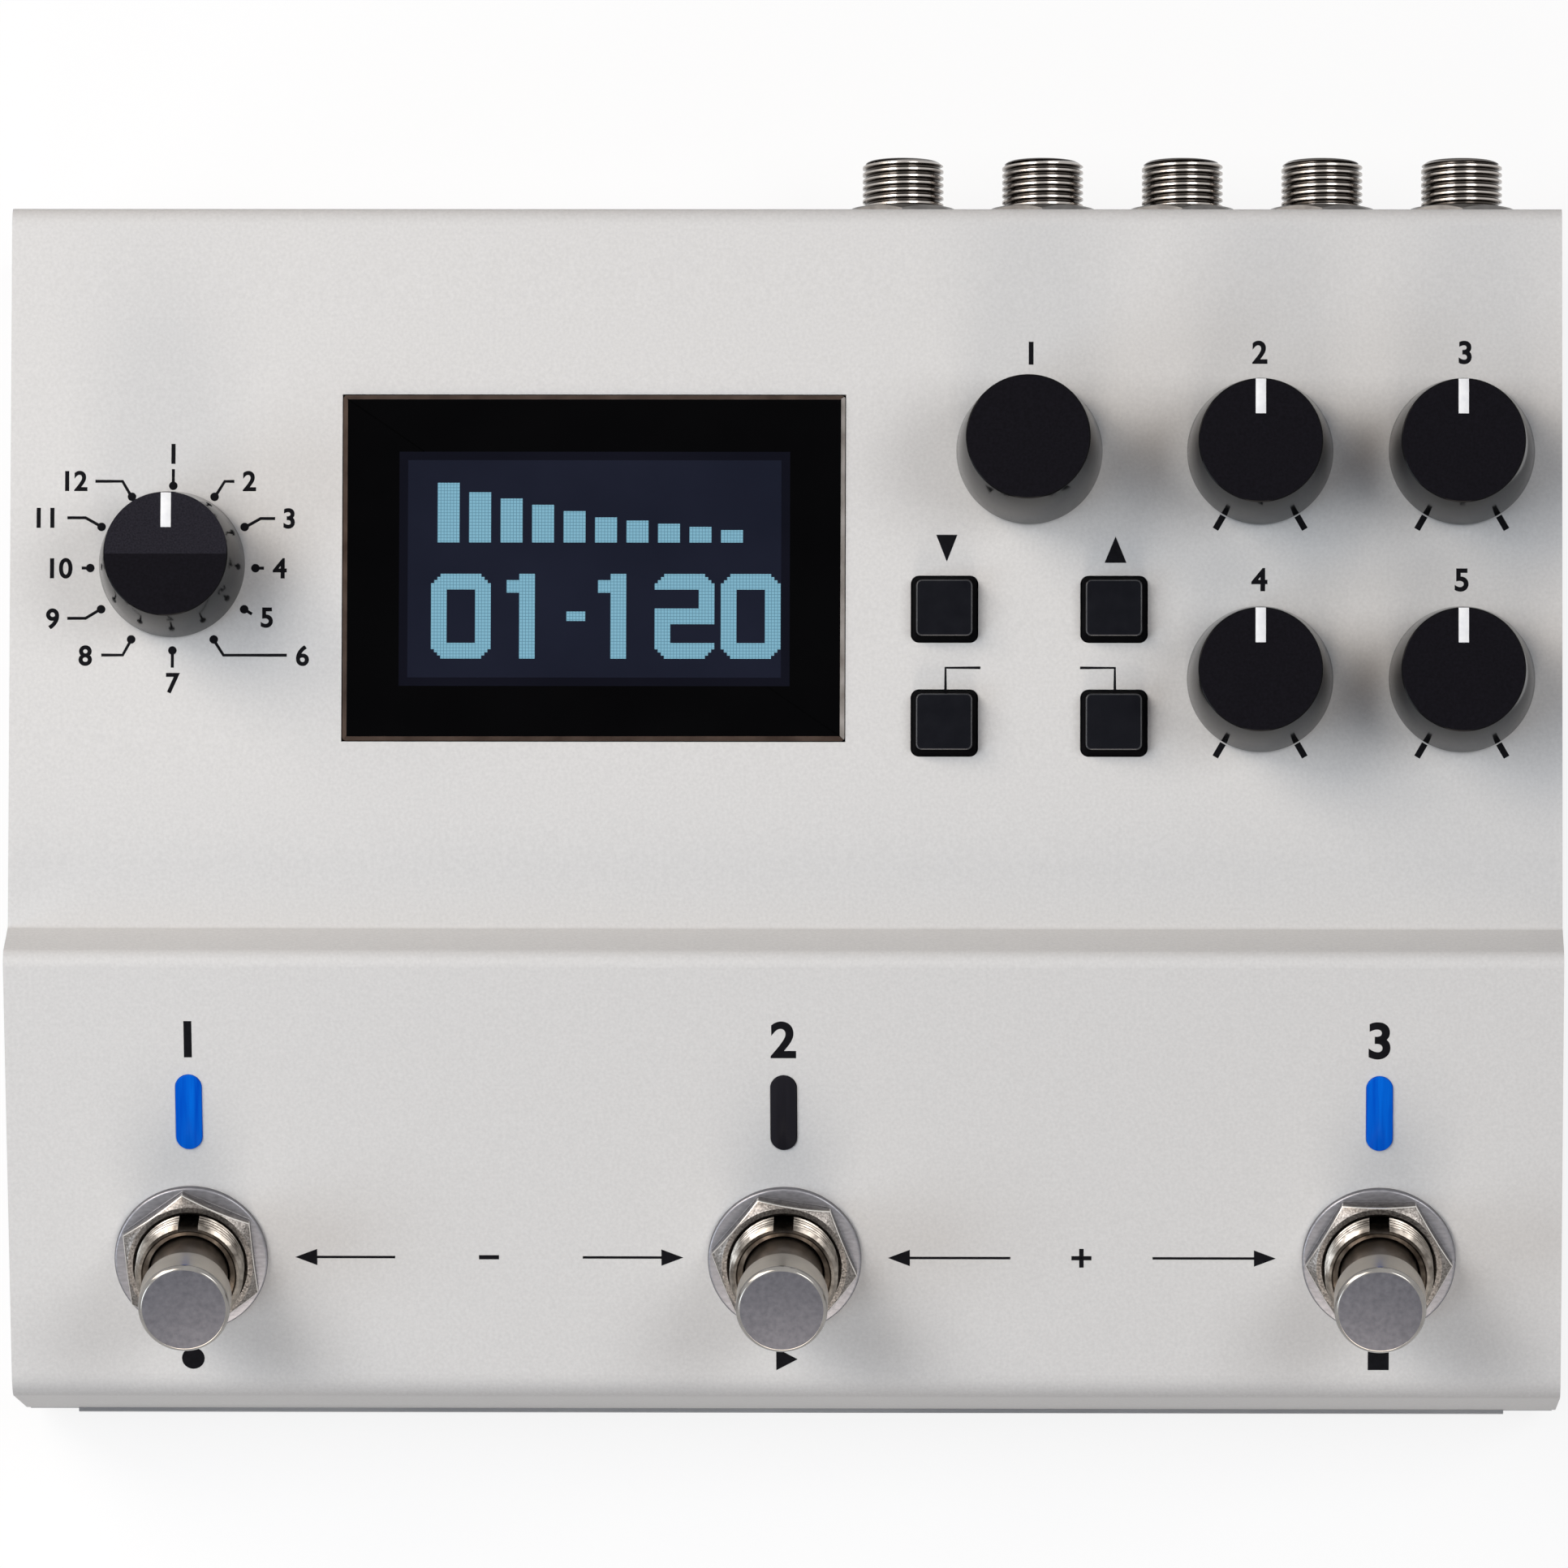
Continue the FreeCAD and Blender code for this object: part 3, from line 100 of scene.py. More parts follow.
def scuffed(finish, patch, least, most):
    """Lets the shine of a finish come and go between two roughnesses over patches in metres."""
    tree = finish.node_tree
    rub = tree.nodes.new("ShaderNodeTexNoise")
    rub.inputs["Scale"].default_value = 1 / patch
    rub.inputs["Detail"].default_value = 5
    reach = tree.nodes.new("ShaderNodeMapRange")
    reach.inputs["From Min"].default_value = noise_low
    reach.inputs["From Max"].default_value = noise_high
    reach.inputs["To Min"].default_value = least
    reach.inputs["To Max"].default_value = most
    tree.links.new(tree.nodes["Mapping"].outputs["Vector"], rub.inputs["Vector"])
    tree.links.new(rub.outputs["Fac"], reach.inputs["Value"])
    tree.links.new(reach.outputs["Result"], tree.nodes["Principled BSDF"].inputs["Roughness"])
    return finish


def dress(finish, *names):
    """Puts a finish on pieces of the frame."""
    for name in names:
        for place in nodes[name].material_slots:
            place.material = finish


black_rubber = grained(clouded("black_rubber", tone(30, 30, 31), tone(46, 46, 47), 0.004, 0.8),
                       0.0003, 0.00004)
dress(black_rubber, "rubber_feet")

# Bottom chassis. A folded steel tray, its lips behind the cover's front and rear walls.
# It is sprayed in a flat grey, and zinc-plated pan screws hold it to the cover's lips.
base_grey = grained(clouded("base_grey", tone(150, 152, 156), tone(168, 170, 173), 0.02, 0.5),
                    0.0004, 0.00002)
dress(base_grey, "bottom_chassis")

bright_zinc = clouded("bright_zinc", tone(176, 178, 182), tone(206, 208, 210), 0.002, 0.3, 1.0)
scuffed(bright_zinc, 0.0008, 0.22, 0.45)
dress(bright_zinc, "base_screws", "board_screws", "main_posts", "panel_posts")

# Battery compartment. A black moulded box for four cells with sprung contacts in its ends.
# Its door hangs on two pegs and snaps shut flush with the tray.
black_moulding = grained(clouded("black_moulding", tone(28, 28, 30), tone(40, 40, 42),
                                 0.006, 0.55), 0.0005, 0.00003)
dress(black_moulding, "battery_box", "battery_door")

spring_nickel = clouded("spring_nickel", tone(190, 186, 176), tone(222, 219, 211),
                        0.003, 0.25, 1.0)
dress(spring_nickel, "battery_contacts")

# Circuit boards. Green glass-fibre boards on turned posts, joined by a flat ribbon cable.
# The woven glass shows through the solder mask as a fine crossed grain.
board_green = clouded("board_green", tone(18, 92, 52), tone(30, 112, 64), 0.003, 0.4,
                      stretch=(1, 4, 1))
grained(board_green, 0.0006, 0.00003)
dress(board_green, "main_board", "panel_board", "lamp_board")

plug_black = grained(clouded("plug_black", tone(24, 24, 26), tone(36, 36, 38), 0.002, 0.45),
                     0.0003, 0.00002)
dress(plug_black, "ribbon_plugs", "tact_switches", "footswitch_housings")

ribbon_grey = clouded("ribbon_grey", tone(120, 122, 126), tone(176, 178, 182), 0.0012, 0.5,
                      stretch=(1, 0.02, 0.02))
dress(ribbon_grey, "ribbon_cable")


# Rear sockets. Five phone sockets with threaded nickel barrels, each with a washer and a nut,
# then a mains adapter inlet, a square data port and two round five-pin sockets.
# The barrels are turned brass, plated: an M9 thread of 0.75 mm pitch and a chamfered mouth.
def trace(points):
    """A run of edges through points in metres, left open for editing."""
    bpy.ops.object.select_all(action="DESELECT")
    bpy.ops.mesh.primitive_plane_add(size=0.0001)
    bpy.ops.object.mode_set(mode="EDIT")
    bpy.ops.mesh.select_mode(type="VERT")
    bpy.ops.mesh.select_all(action="SELECT")
    bpy.ops.mesh.merge(type="CENTER")
    bpy.ops.transform.translate(value=points[0])
    for start, end in zip(points, points[1:]):
        bpy.ops.mesh.extrude_region_move(TRANSFORM_OT_translate={"value": end - start})
    return bpy.context.object


def turn(name, corners, steps=96):
    """A piece turned about Z. Its outline is a run of (radius, height) corners in mm, closed by
    an edge back to the first corner, or by the axis if the run starts on it."""
    closing = corners[:1] if corners[0][0] > 0 else []
    piece = trace([Vector((radius, 0, height)) / 1000 for radius, height in corners + closing])
    piece.name = name
    bpy.ops.mesh.select_all(action="SELECT")
    bpy.ops.mesh.remove_doubles(threshold=1e-6)
    bpy.ops.mesh.select_all(action="SELECT")
    bpy.ops.mesh.spin(steps=steps, angle=math.tau, center=(0, 0, 0), axis=(0, 0, 1))
    bpy.ops.mesh.select_all(action="SELECT")
    bpy.ops.mesh.remove_doubles(threshold=1e-6)
    bpy.ops.mesh.normals_make_consistent(inside=False)
    bpy.ops.object.mode_set(mode="OBJECT")
    return piece


def choose(piece):
    """Selects one piece alone and makes it the active one."""
    bpy.ops.object.select_all(action="DESELECT")
    piece.select_set(True)
    bpy.context.view_layer.objects.active = piece


def smooth(piece, angle=30):
    """Shades a piece smooth across edges that turn by less than the angle."""
    choose(piece)
    bpy.ops.object.shade_smooth_by_angle(angle=math.radians(angle))


def finish_modifier(piece, kind, **settings):
    """Adds a modifier to a piece and applies it."""
    choose(piece)
    bpy.ops.object.modifier_add(type=kind)
    modifier = piece.modifiers[-1]
    for setting, value in settings.items():
        setattr(modifier, setting, value)
    bpy.ops.object.modifier_apply(modifier=modifier.name)


def carve(piece, tool, operation="DIFFERENCE"):
    """Cuts a piece with a tool, which is then put away."""
    finish_modifier(piece, "BOOLEAN", object=tool, operation=operation, solver="EXACT")
    bpy.data.objects.remove(tool)


def together(name, *pieces):
    """Joins pieces into one."""
    bpy.ops.object.select_all(action="DESELECT")
    for piece in pieces:
        piece.select_set(True)
    bpy.context.view_layer.objects.active = pieces[0]
    bpy.ops.object.join()
    pieces[0].name = name
    return pieces[0]


def seat(piece, place):
    """Moves a finished piece to its place and leaves its object at the origin."""
    piece.matrix_world = place
    choose(piece)
    bpy.ops.object.transform_apply(location=True, rotation=True, scale=True)
    return piece


def spare(piece, name):
    """A copy of a piece with its own mesh."""
    choose(piece)
    bpy.ops.object.duplicate()
    bpy.context.object.name = name
    return bpy.context.object


def box(name, across, along, high, x=0.0, y=0.0, z=0.0):
    """A block in mm, standing on height z."""
    bpy.ops.object.select_all(action="DESELECT")
    bpy.ops.mesh.primitive_cube_add(size=0.001, location=(x / 1000, y / 1000,
                                                          (z + high / 2) / 1000))
    block = bpy.context.object
    block.name = name
    block.scale = (across, along, high)
    bpy.ops.object.transform_apply(location=True, rotation=True, scale=True)
    return block


def paint(piece, finish):
    """Gives a whole piece one finish."""
    piece.data.materials.clear()
    piece.data.materials.append(finish)
    return piece


def coil(outline, rise, turns, steps):
    """Winds an upright outline round Z, with its rise per turn in mm, and closes both ends."""
    finish_modifier(outline, "SCREW", axis="Z", angle=math.tau, screw_offset=rise / 1000,
                    iterations=turns, steps=steps, render_steps=steps)
    bpy.ops.object.mode_set(mode="EDIT")
    bpy.ops.mesh.select_all(action="DESELECT")
    bpy.ops.mesh.select_non_manifold(extend=False)
    bpy.ops.mesh.edge_face_add()
    bpy.ops.mesh.select_all(action="SELECT")
    bpy.ops.mesh.normals_make_consistent(inside=False)
    bpy.ops.object.mode_set(mode="OBJECT")


def thread(name, crest, root, pitch, start, end, chamfer):
    """The raised spiral of a right-hand thread, clipped flat at its start and chamfered at its
    end. The ridge's corners are (radius, share of the pitch), and its foot is sunk in the root."""
    foot = root - 0.1
    ridge = ((foot, 0.03), (foot, 0.97), (crest, 0.64), (crest, 0.36), (foot, 0.03))
    spiral = trace([Vector((radius, 0, start - pitch + share * pitch)) / 1000
                    for radius, share in ridge])
    spiral.name = name
    bpy.ops.mesh.select_all(action="SELECT")
    bpy.ops.mesh.remove_doubles(threshold=1e-6)
    bpy.ops.object.mode_set(mode="OBJECT")
    coil(spiral, pitch, math.ceil((end - start) / pitch) + 2, 48)
    clear = crest + 0.2
    carve(spiral, turn("blank", [(0, start), (clear, start), (clear, end - chamfer),
                                 (crest - chamfer, end), (0, end)], 48), "INTERSECT")
    return spiral


rear_wall, sheet = 60.5, 1.2
first_socket, socket_pitch, socket_height = 12.4, 15.5, 20.0
socket_reach, socket_depth, socket_radius = 8.5, 10.2, 4.5
thread_root, thread_pitch = 4.08, 0.75
mouth, relief, neck, rim = 3.2, 3.5, 4.1, 3.8

barrel = turn("barrel", [(relief, -socket_depth), (neck, -socket_depth), (neck, -sheet),
                         (thread_root, -sheet), (thread_root, socket_reach - 0.42),
                         (rim + 0.1, socket_reach - 0.06), (rim, socket_reach),
                         (mouth + 0.45, socket_reach), (mouth, socket_reach - 0.5),
                         (mouth, 0.3), (relief, 0.3)])
spiral = thread("spiral", socket_radius, thread_root, thread_pitch, -sheet, socket_reach, 0.62)
smooth(barrel, 25)
smooth(spiral, 25)
barrel = together("barrel", barrel, spiral)
barrels = []
for number in range(5):
    across = (first_socket + socket_pitch * number) / 1000
    turned = number * 0.7
    barrels.append(seat(spare(barrel, f"barrel_{number}"),
                        Matrix.Translation((across, rear_wall / 1000, socket_height / 1000))
                        @ Matrix.Rotation(math.radians(-90), 4, "X")
                        @ Matrix.Rotation(turned, 4, "Z")))
bpy.data.objects.remove(barrel)
socket_barrels = together("socket_barrels", *barrels)

# One finish serves the five threads, with painted shade in the grooves and bright crests. X is
# wrapped to the first barrel, and the distance from its axis then says how deep in a groove a
# point is, and so how dark it is painted.
groove_shaded_nickel = clouded("groove_shaded_nickel", tone(66, 61, 57), tone(172, 166, 161), 0.0015,
                        0.2, 1.0)
scuffed(groove_shaded_nickel, 0.0006, 0.16, 0.24)
tree = groove_shaded_nickel.node_tree
column = tree.nodes.new("ShaderNodeVectorMath")
column.operation = "WRAP"
half_pitch = socket_pitch / 2000
column.inputs[1].default_value = (first_socket / 1000 + half_pitch, 1, 1)
column.inputs[2].default_value = (first_socket / 1000 - half_pitch, -1, -1)
flat = tree.nodes.new("ShaderNodeVectorMath")
flat.operation = "MULTIPLY"
flat.inputs[1].default_value = (1, 0, 1)
radius = tree.nodes.new("ShaderNodeVectorMath")
radius.operation = "DISTANCE"
radius.inputs[1].default_value = (first_socket / 1000, 0, socket_height / 1000)
depth = tree.nodes.new("ShaderNodeMapRange")
depth.inputs["From Min"].default_value = (thread_root + 0.02) / 1000
depth.inputs["From Max"].default_value = (socket_radius - 0.04) / 1000
ramp = tree.nodes["Color Ramp"]
ramp.color_ramp.elements[0].position = 0.0
ramp.color_ramp.elements[1].position = 1.0
tree.links.new(tree.nodes["Mapping"].outputs["Vector"], column.inputs[0])
tree.links.new(column.outputs["Vector"], flat.inputs[0])
tree.links.new(flat.outputs["Vector"], radius.inputs[0])
tree.links.new(radius.outputs["Value"], depth.inputs["Value"])
tree.links.new(depth.outputs["Result"], ramp.inputs["Fac"])
paint(socket_barrels, groove_shaded_nickel)
plated_nickel = clouded("plated_nickel", tone(92, 90, 89), tone(112, 110, 108), 0.0015, 0.4, 1.0)
scuffed(plated_nickel, 0.0006, 0.36, 0.48)
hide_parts("jack_barrels")
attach(socket_barrels, "case")

dress(plated_nickel, "jack_nuts", "jack_washers")
dress(black_moulding, "jack_bodies", "midi_sockets", "power_socket")
dress(bright_zinc, "usb_port")

# Top cover. One sheet of 1.2 mm aluminium, punched and bent five times, over the whole width.
# It is sprayed in a pearl silver with a fine metal flake, under a thin satin lacquer.
pearl_silver = clouded("pearl_silver", tone(208, 208, 207), tone(217, 217, 216), 0.00035, 0.45,
                       gloss=0.07)
grained(pearl_silver, 0.00025, 0.000012)
dress(pearl_silver, "top_cover")

# Printed marks. Black silk-screen ink on the cover, a few hundredths of a millimetre thick.
# Round the mode dial stand twelve dots with leader lines and plain numbers. The pointer knobs
# have a tick at each end of their travel, and lines and arrows lead to the keys and switches.
rear_edge, upper_fall, upper_run = 45.2, 2.2, 79.3
ridge_y, ridge_height, foot_fall, foot_run = -22.5, 51.2, 21.7, 46.1
upper_tilt = math.atan2(upper_fall, upper_run)
upper_panel = (Matrix.Translation((0, rear_wall / 1000, rear_edge / 1000))
               @ Matrix.Rotation(upper_tilt, 4, "X"))
foot_panel = (Matrix.Translation((0, ridge_y / 1000, ridge_height / 1000))
              @ Matrix.Rotation(math.atan2(foot_fall, foot_run), 4, "X"))
switch_columns = {"left": -65.0, "centre": 0.0, "right": 65.0}
ink_height = 0.02


def spot(panel, x, row, rise=0.0):
    """The place at (x, row) on a panel, raised off it, all in mm."""
    return panel @ Matrix.Translation((x / 1000, -row / 1000, rise / 1000))


def stroke(points, width):
    """An ink line of one width through (x, row) points in mm on a panel."""
    line = trace([Vector((x, -row, 0)) / 1000 for x, row in points])
    bpy.ops.object.mode_set(mode="OBJECT")
    bpy.ops.object.convert(target="CURVE")
    line.data.bevel_depth = width / 2000
    line.data.bevel_resolution = 1
    line.data.use_fill_caps = True
    bpy.ops.object.convert(target="MESH")
    line.scale = (1, 1, 2 * ink_height / width)
    bpy.ops.object.transform_apply(location=True, rotation=True, scale=True)
    return line


def patch(corners):
    """A flat ink shape with the given (x, row) corners in mm, in order."""
    bpy.ops.object.select_all(action="DESELECT")
    bpy.ops.mesh.primitive_circle_add(vertices=len(corners), radius=0.001, fill_type="NGON")
    shape = bpy.context.object
    for point, (x, row) in zip(shape.data.vertices, corners):
        point.co = Vector((x, -row, 0)) / 1000
    bpy.ops.object.mode_set(mode="EDIT")
    bpy.ops.mesh.select_all(action="SELECT")
    bpy.ops.mesh.extrude_region_move(
        TRANSFORM_OT_translate={"value": (0, 0, ink_height / 1000)})
    bpy.ops.mesh.select_all(action="SELECT")
    bpy.ops.mesh.normals_make_consistent(inside=False)
    bpy.ops.object.mode_set(mode="OBJECT")
    return shape


def dot(x, row, radius):
    """A round ink dot."""
    corners = 24
    return patch([(x + radius * math.cos(math.tau * i / corners),
                   row - radius * math.sin(math.tau * i / corners)) for i in range(corners)])


def figure(words, x, row, height, align="CENTER"):
    """Plain numbers printed in ink, their middle at (x, row) and their height in mm. A rim
    thickens their strokes a little, to the weight of the print."""
    numeral_share, swell = 0.7, height * 0.04
    bpy.ops.object.select_all(action="DESELECT")
    bpy.ops.object.text_add()
    text = bpy.context.object
    text.data.body = words
    text.data.size = height / numeral_share
    text.data.align_x = align
    text.data.extrude = ink_height / 2
    rim = spare(text, "rim")
    bpy.ops.object.convert(target="CURVE")
    rim.data.fill_mode = "NONE"
    rim.data.extrude = 0
    rim.data.bevel_depth = swell
    rim.data.bevel_resolution = 1
    bpy.ops.object.convert(target="MESH")
    rim.scale = (1, 1, ink_height / swell)
    bpy.ops.object.transform_apply(location=True, rotation=True, scale=True)
    choose(text)
    bpy.ops.object.convert(target="MESH")
    text.location = (0, 0, ink_height / 2)
    print_out = together("figure", text, rim)
    bpy.ops.object.transform_apply(location=True, rotation=True, scale=True)
    print_out.scale = (0.001, 0.001, 0.001)
    print_out.location = (x / 1000, (-row - height / 2) / 1000, 0)
    bpy.ops.object.transform_apply(location=True, rotation=True, scale=True)
    return print_out


black_ink = grained(clouded("black_ink", tone(15, 15, 18), tone(21, 21, 25), 0.0006, 0.5,
                            gloss=0.03), 0.0001, 0.000004)

# Leader lines and numbers are placed by (x, rise) from the middle of the dial's ring of dots.
ring_x, ring_row, ring_radius, ring_dot = -67.14, 39.85, 9.06, 0.47
leader_width, dial_number, knob_number, foot_number = 0.34, 2.1, 2.4, 4.0
upper_ink = []
for number in range(12):
    angle = math.radians(30 * number)
    upper_ink.append(dot(ring_x + ring_radius * math.sin(angle),
                         ring_row - ring_radius * math.cos(angle), ring_dot))
leaders = [
    [(0, 9.1), (0, 10.9)], [(4.55, 7.8), (5.65, 9.55), (6.7, 9.55)],
    [(7.9, 4.5), (9.6, 5.46), (11.2, 5.46)], [(9.1, 0), (10.0, 0)],
    [(7.9, -4.55), (8.7, -5.05)], [(4.5, -7.85), (5.6, -9.57), (12.55, -9.57)],
    [(0, -9.1), (0, -10.95)], [(-4.5, -7.85), (-5.45, -9.57), (-7.8, -9.57)],
    [(-7.85, -4.5), (-9.55, -5.53), (-11.55, -5.53)], [(-9.1, 0), (-10.0, 0)],
    [(-7.85, 4.55), (-9.6, 5.53), (-11.6, 5.53)], [(-4.55, 7.8), (-5.57, 9.55), (-8.55, 9.55)]]
for leader in leaders:
    upper_ink.append(stroke([(ring_x + x, ring_row - rise) for x, rise in leader],
                            leader_width))
mode_numbers = [(0, 12.6), (7.6, 9.6), (12.0, 5.5), (11.0, 0), (9.6, -5.4), (13.5, -9.6),
                (0, -12.6), (-8.8, -9.6), (-12.4, -5.55), (-11.0, 0), (-12.5, 5.55),
                (-9.4, 9.6)]
for number, (x, rise) in enumerate(mode_numbers, 1):
    side = "CENTER" if x == 0 else "LEFT" if x > 0 else "RIGHT"
    upper_ink.append(figure(str(number), ring_x + x, ring_row - rise, dial_number, side))
for number, (x, row) in enumerate(((26.85, 16.1), (51.9, 16.0), (74.4, 16.0), (51.9, 41.0),
                                   (74.0, 41.0)), 1):
    upper_ink.append(figure(str(number), x, row, knob_number))

pointer_knobs = {"feedback": (51.95, 27.0), "level": (74.0, 27.0),
                 "tone": (51.95, 52.0), "depth": (74.0, 52.0)}
tick_lean, tick_ends, tick_width, line_width = math.radians(30), (8.1, 9.8), 0.7, 0.3
for x, row in pointer_knobs.values():
    for side in (-1, 1):
        upper_ink.append(stroke([(x + side * reach * math.sin(tick_lean),
                                  row + reach * math.cos(tick_lean)) for reach in tick_ends],
                                tick_width))

upper_ink.append(patch([(16.5, 36.12), (18.82, 36.12), (17.66, 39.07)]))
upper_ink.append(patch([(34.93, 39.19), (37.33, 39.19), (36.13, 36.29)]))
upper_ink.append(stroke([(17.55, 53.28), (17.55, 50.73), (21.36, 50.73)], line_width))
upper_ink.append(stroke([(32.26, 50.73), (36.07, 50.73), (36.07, 53.28)], line_width))
upper_marks = together("upper_marks", *upper_ink)
seat(upper_marks, upper_panel)
paint(upper_marks, black_ink)
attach(upper_marks, "case")

foot_ink = []
for number, x in enumerate(switch_columns.values(), 1):
    foot_ink.append(figure(str(number), x, 9.83, foot_number))
arrow_row, arrow_length, arrow_half, sign_half, sign_width = 35.22, 2.4, 0.95, 1.1, 0.5
for tail, tip in ((-42.66, -53.61), (-22.12, -11.1), (24.71, 11.3), (40.25, 53.75)):
    way = math.copysign(1, tip - tail)
    foot_ink.append(stroke([(tail, arrow_row), (tip - 2 * way, arrow_row)], line_width))
    foot_ink.append(patch([(tip - arrow_length * way, arrow_row - arrow_half * way),
                           (tip - arrow_length * way, arrow_row + arrow_half * way),
                           (tip, arrow_row)]))
for middle, sign in ((-32.39, "-"), (32.48, "+")):
    foot_ink.append(stroke([(middle - sign_half, arrow_row), (middle + sign_half, arrow_row)],
                           sign_width))
    if sign == "+":
        foot_ink.append(stroke([(middle, arrow_row - sign_half),
                                (middle, arrow_row + sign_half)], sign_width))
foot_ink.append(dot(switch_columns["left"], 47.1, 1.25))
foot_ink.append(patch([(-1.0, 45.8), (-1.0, 48.4), (1.35, 47.1)]))
foot_ink.append(patch([(63.85, 45.95), (66.15, 45.95), (66.15, 48.25), (63.85, 48.25)]))
foot_marks = together("foot_marks", *foot_ink)
seat(foot_marks, foot_panel)
paint(foot_marks, black_ink)
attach(foot_marks, "case")

# Display. A bevelled acrylic window, printed black behind, over a dot-matrix module.
# The module's glass is dark navy, and lit dots of a third of a millimetre form the figures:
# a row of bars that die away like echoes, and a plain setting in large numbers.
display_x, display_row = -21.0, 39.8
screen_x, screen_row = -20.91, 39.94
window_width, window_depth, window_brim, brim_height = 55, 38, 1.5, 0.8
screen_width, screen_depth, field_width, field_depth = 42.8, 25.75, 40.9, 23.9
window_top, film = 0.5, 0.01
dot_pitch, dots_left, dots_rear = 0.345, 21.35, 12.9


def pick(piece, wanted):
    """Selects only the faces of a piece that pass the test, and opens it for editing."""
    choose(piece)
    bpy.ops.object.mode_set(mode="EDIT")
    bpy.ops.mesh.select_mode(type="FACE")
    bpy.ops.mesh.select_all(action="DESELECT")
    bpy.ops.object.mode_set(mode="OBJECT")
    for face in piece.data.polygons:
        face.select = wanted(face)
    bpy.ops.object.mode_set(mode="EDIT")


def refinish(piece, finish, wanted):
    """Gives the faces that pass the test a finish of their own."""
    piece.data.materials.append(finish)
    for face in piece.data.polygons:
        if wanted(face):
            face.material_index = len(piece.data.materials) - 1


def round_corners(piece, radius, steps=5):
    """Rounds the upright edges of a block by a radius in mm."""
    choose(piece)
    bpy.ops.object.mode_set(mode="EDIT")
    bpy.ops.mesh.select_mode(type="EDGE")
    bpy.ops.mesh.select_all(action="DESELECT")
    bpy.ops.object.mode_set(mode="OBJECT")
    for edge in piece.data.edges:
        ends = [piece.data.vertices[i].co for i in edge.vertices]
        edge.select = abs(ends[0].z - ends[1].z) > 0.0001
    bpy.ops.object.mode_set(mode="EDIT")
    bpy.ops.mesh.bevel(offset=radius / 1000, segments=steps)
    bpy.ops.object.mode_set(mode="OBJECT")


window = box("window", window_width, window_depth, sheet + window_top, z=-sheet)
round_corners(window, 0.4)
pick(window, lambda face: face.normal.z > 0.9)
bpy.ops.mesh.bevel(offset=0.0005, segments=1)
bpy.ops.object.mode_set(mode="OBJECT")
window_flange = box("window_flange", window_width + 2 * window_brim,
                    window_depth + 2 * window_brim, brim_height, z=-sheet - brim_height)
window_black = clouded("window_black", tone(4, 4, 5), tone(6, 6, 7), 0.01, 0.08, gloss=0.012)
scuffed(window_black, 0.006, 0.06, 0.11)
# The pane is opaque: its bevels are painted a lighter brown in place of the light seen through
# clear acrylic, and the right-hand bevels lighter still, a painted highlight where light leaves
# the edge.
acrylic_edge_painted_light = clouded("acrylic_edge_painted_light", tone(58, 46, 40), tone(84, 70, 62), 0.003, 0.15, gloss=0.1)
acrylic_painted_highlight = clouded("acrylic_painted_highlight", tone(150, 142, 134), tone(206, 200, 194), 0.003, 0.15)
paint(window_flange, window_black)
paint(window, window_black)
refinish(window, acrylic_edge_painted_light, lambda face: 0.1 < face.normal.z < 0.9)
refinish(window, acrylic_painted_highlight, lambda face: 0.1 < face.normal.z < 0.9 and face.normal.x > 0.5)
display_window = together("window_pane", window, window_flange)
seat(display_window, spot(upper_panel, display_x, display_row))
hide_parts("display_window")
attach(display_window, "case")
dress(plug_black, "display_module")

screen_dim = clouded("screen_dim", tone(15, 16, 25), tone(19, 20, 30), 0.012, 0.12, gloss=0.012)
screen_navy = clouded("screen_navy", tone(25, 28, 41), tone(29, 32, 46), 0.012, 0.12, gloss=0.012)
screen = paint(box("screen", screen_width, screen_depth, film, screen_x, -screen_row,
                   window_top), screen_dim)
field = paint(box("screen_field", field_width, field_depth, film, screen_x, -screen_row,
                  window_top + film), screen_navy)
screen = seat(together("screen", screen, field), upper_panel)
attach(screen, "case")

# Every lit block is counted in dots from its own figure's corner. A numeral is 19 dots wide and
# 27 high with strokes of 5, and the corners of its upper and lower strokes are stepped.
lit = []
wide, high, thick, middle = 19, 27, 5, 11
numeral_row, echo_row, echo_foot = 39, 9, 20


def run(column, row, first, last, top, bottom):
    """Lights a block of dots, from one column to another and from one row to another."""
    left = (column + first) * dot_pitch
    right = (column + last) * dot_pitch
    rear = (row + top) * dot_pitch
    front = (row + bottom) * dot_pitch
    lit.append(box("lit", right - left, front - rear, film,
                   screen_x - dots_left + (left + right) / 2,
                   -(screen_row - dots_rear + (rear + front) / 2), window_top + 2 * film))


for column, numeral in ((10, 0), (31, 1), (60, 1), (81, 2), (102, 0)):
    if numeral == 1:
        run(column, numeral_row, 7, 12, 0, high)
        run(column, numeral_row, 3, 7, 2, 6)
        continue
    for outer, step, inner in ((0, 1, 3), (high - 1, -1, high - thick)):
        for line, trim in enumerate((3, 2, 1)):
            at = outer + step * line
            run(column, numeral_row, trim, wide - trim, at, at + 1)
        run(column, numeral_row, 0, wide, inner, inner + 2)
    if numeral == 2:
        run(column, numeral_row, 0, wide, middle, middle + thick)
        run(column, numeral_row, 0, thick, middle + thick, high - thick)
        run(column, numeral_row, wide - thick, wide, thick, middle)
    else:
        run(column, numeral_row, 0, thick, thick, high - thick)
        run(column, numeral_row, wide - thick, wide, thick, high - thick)
run(53, numeral_row, 0, 6, 12, 15)
for number, height in enumerate((19, 16, 14, 12, 10, 8, 7, 6, 5, 4)):
    run(12 + 10 * number, echo_row, 0, 7, echo_foot - height, echo_foot)
figures = together("screen_figures", *lit)
seat(figures, upper_panel)

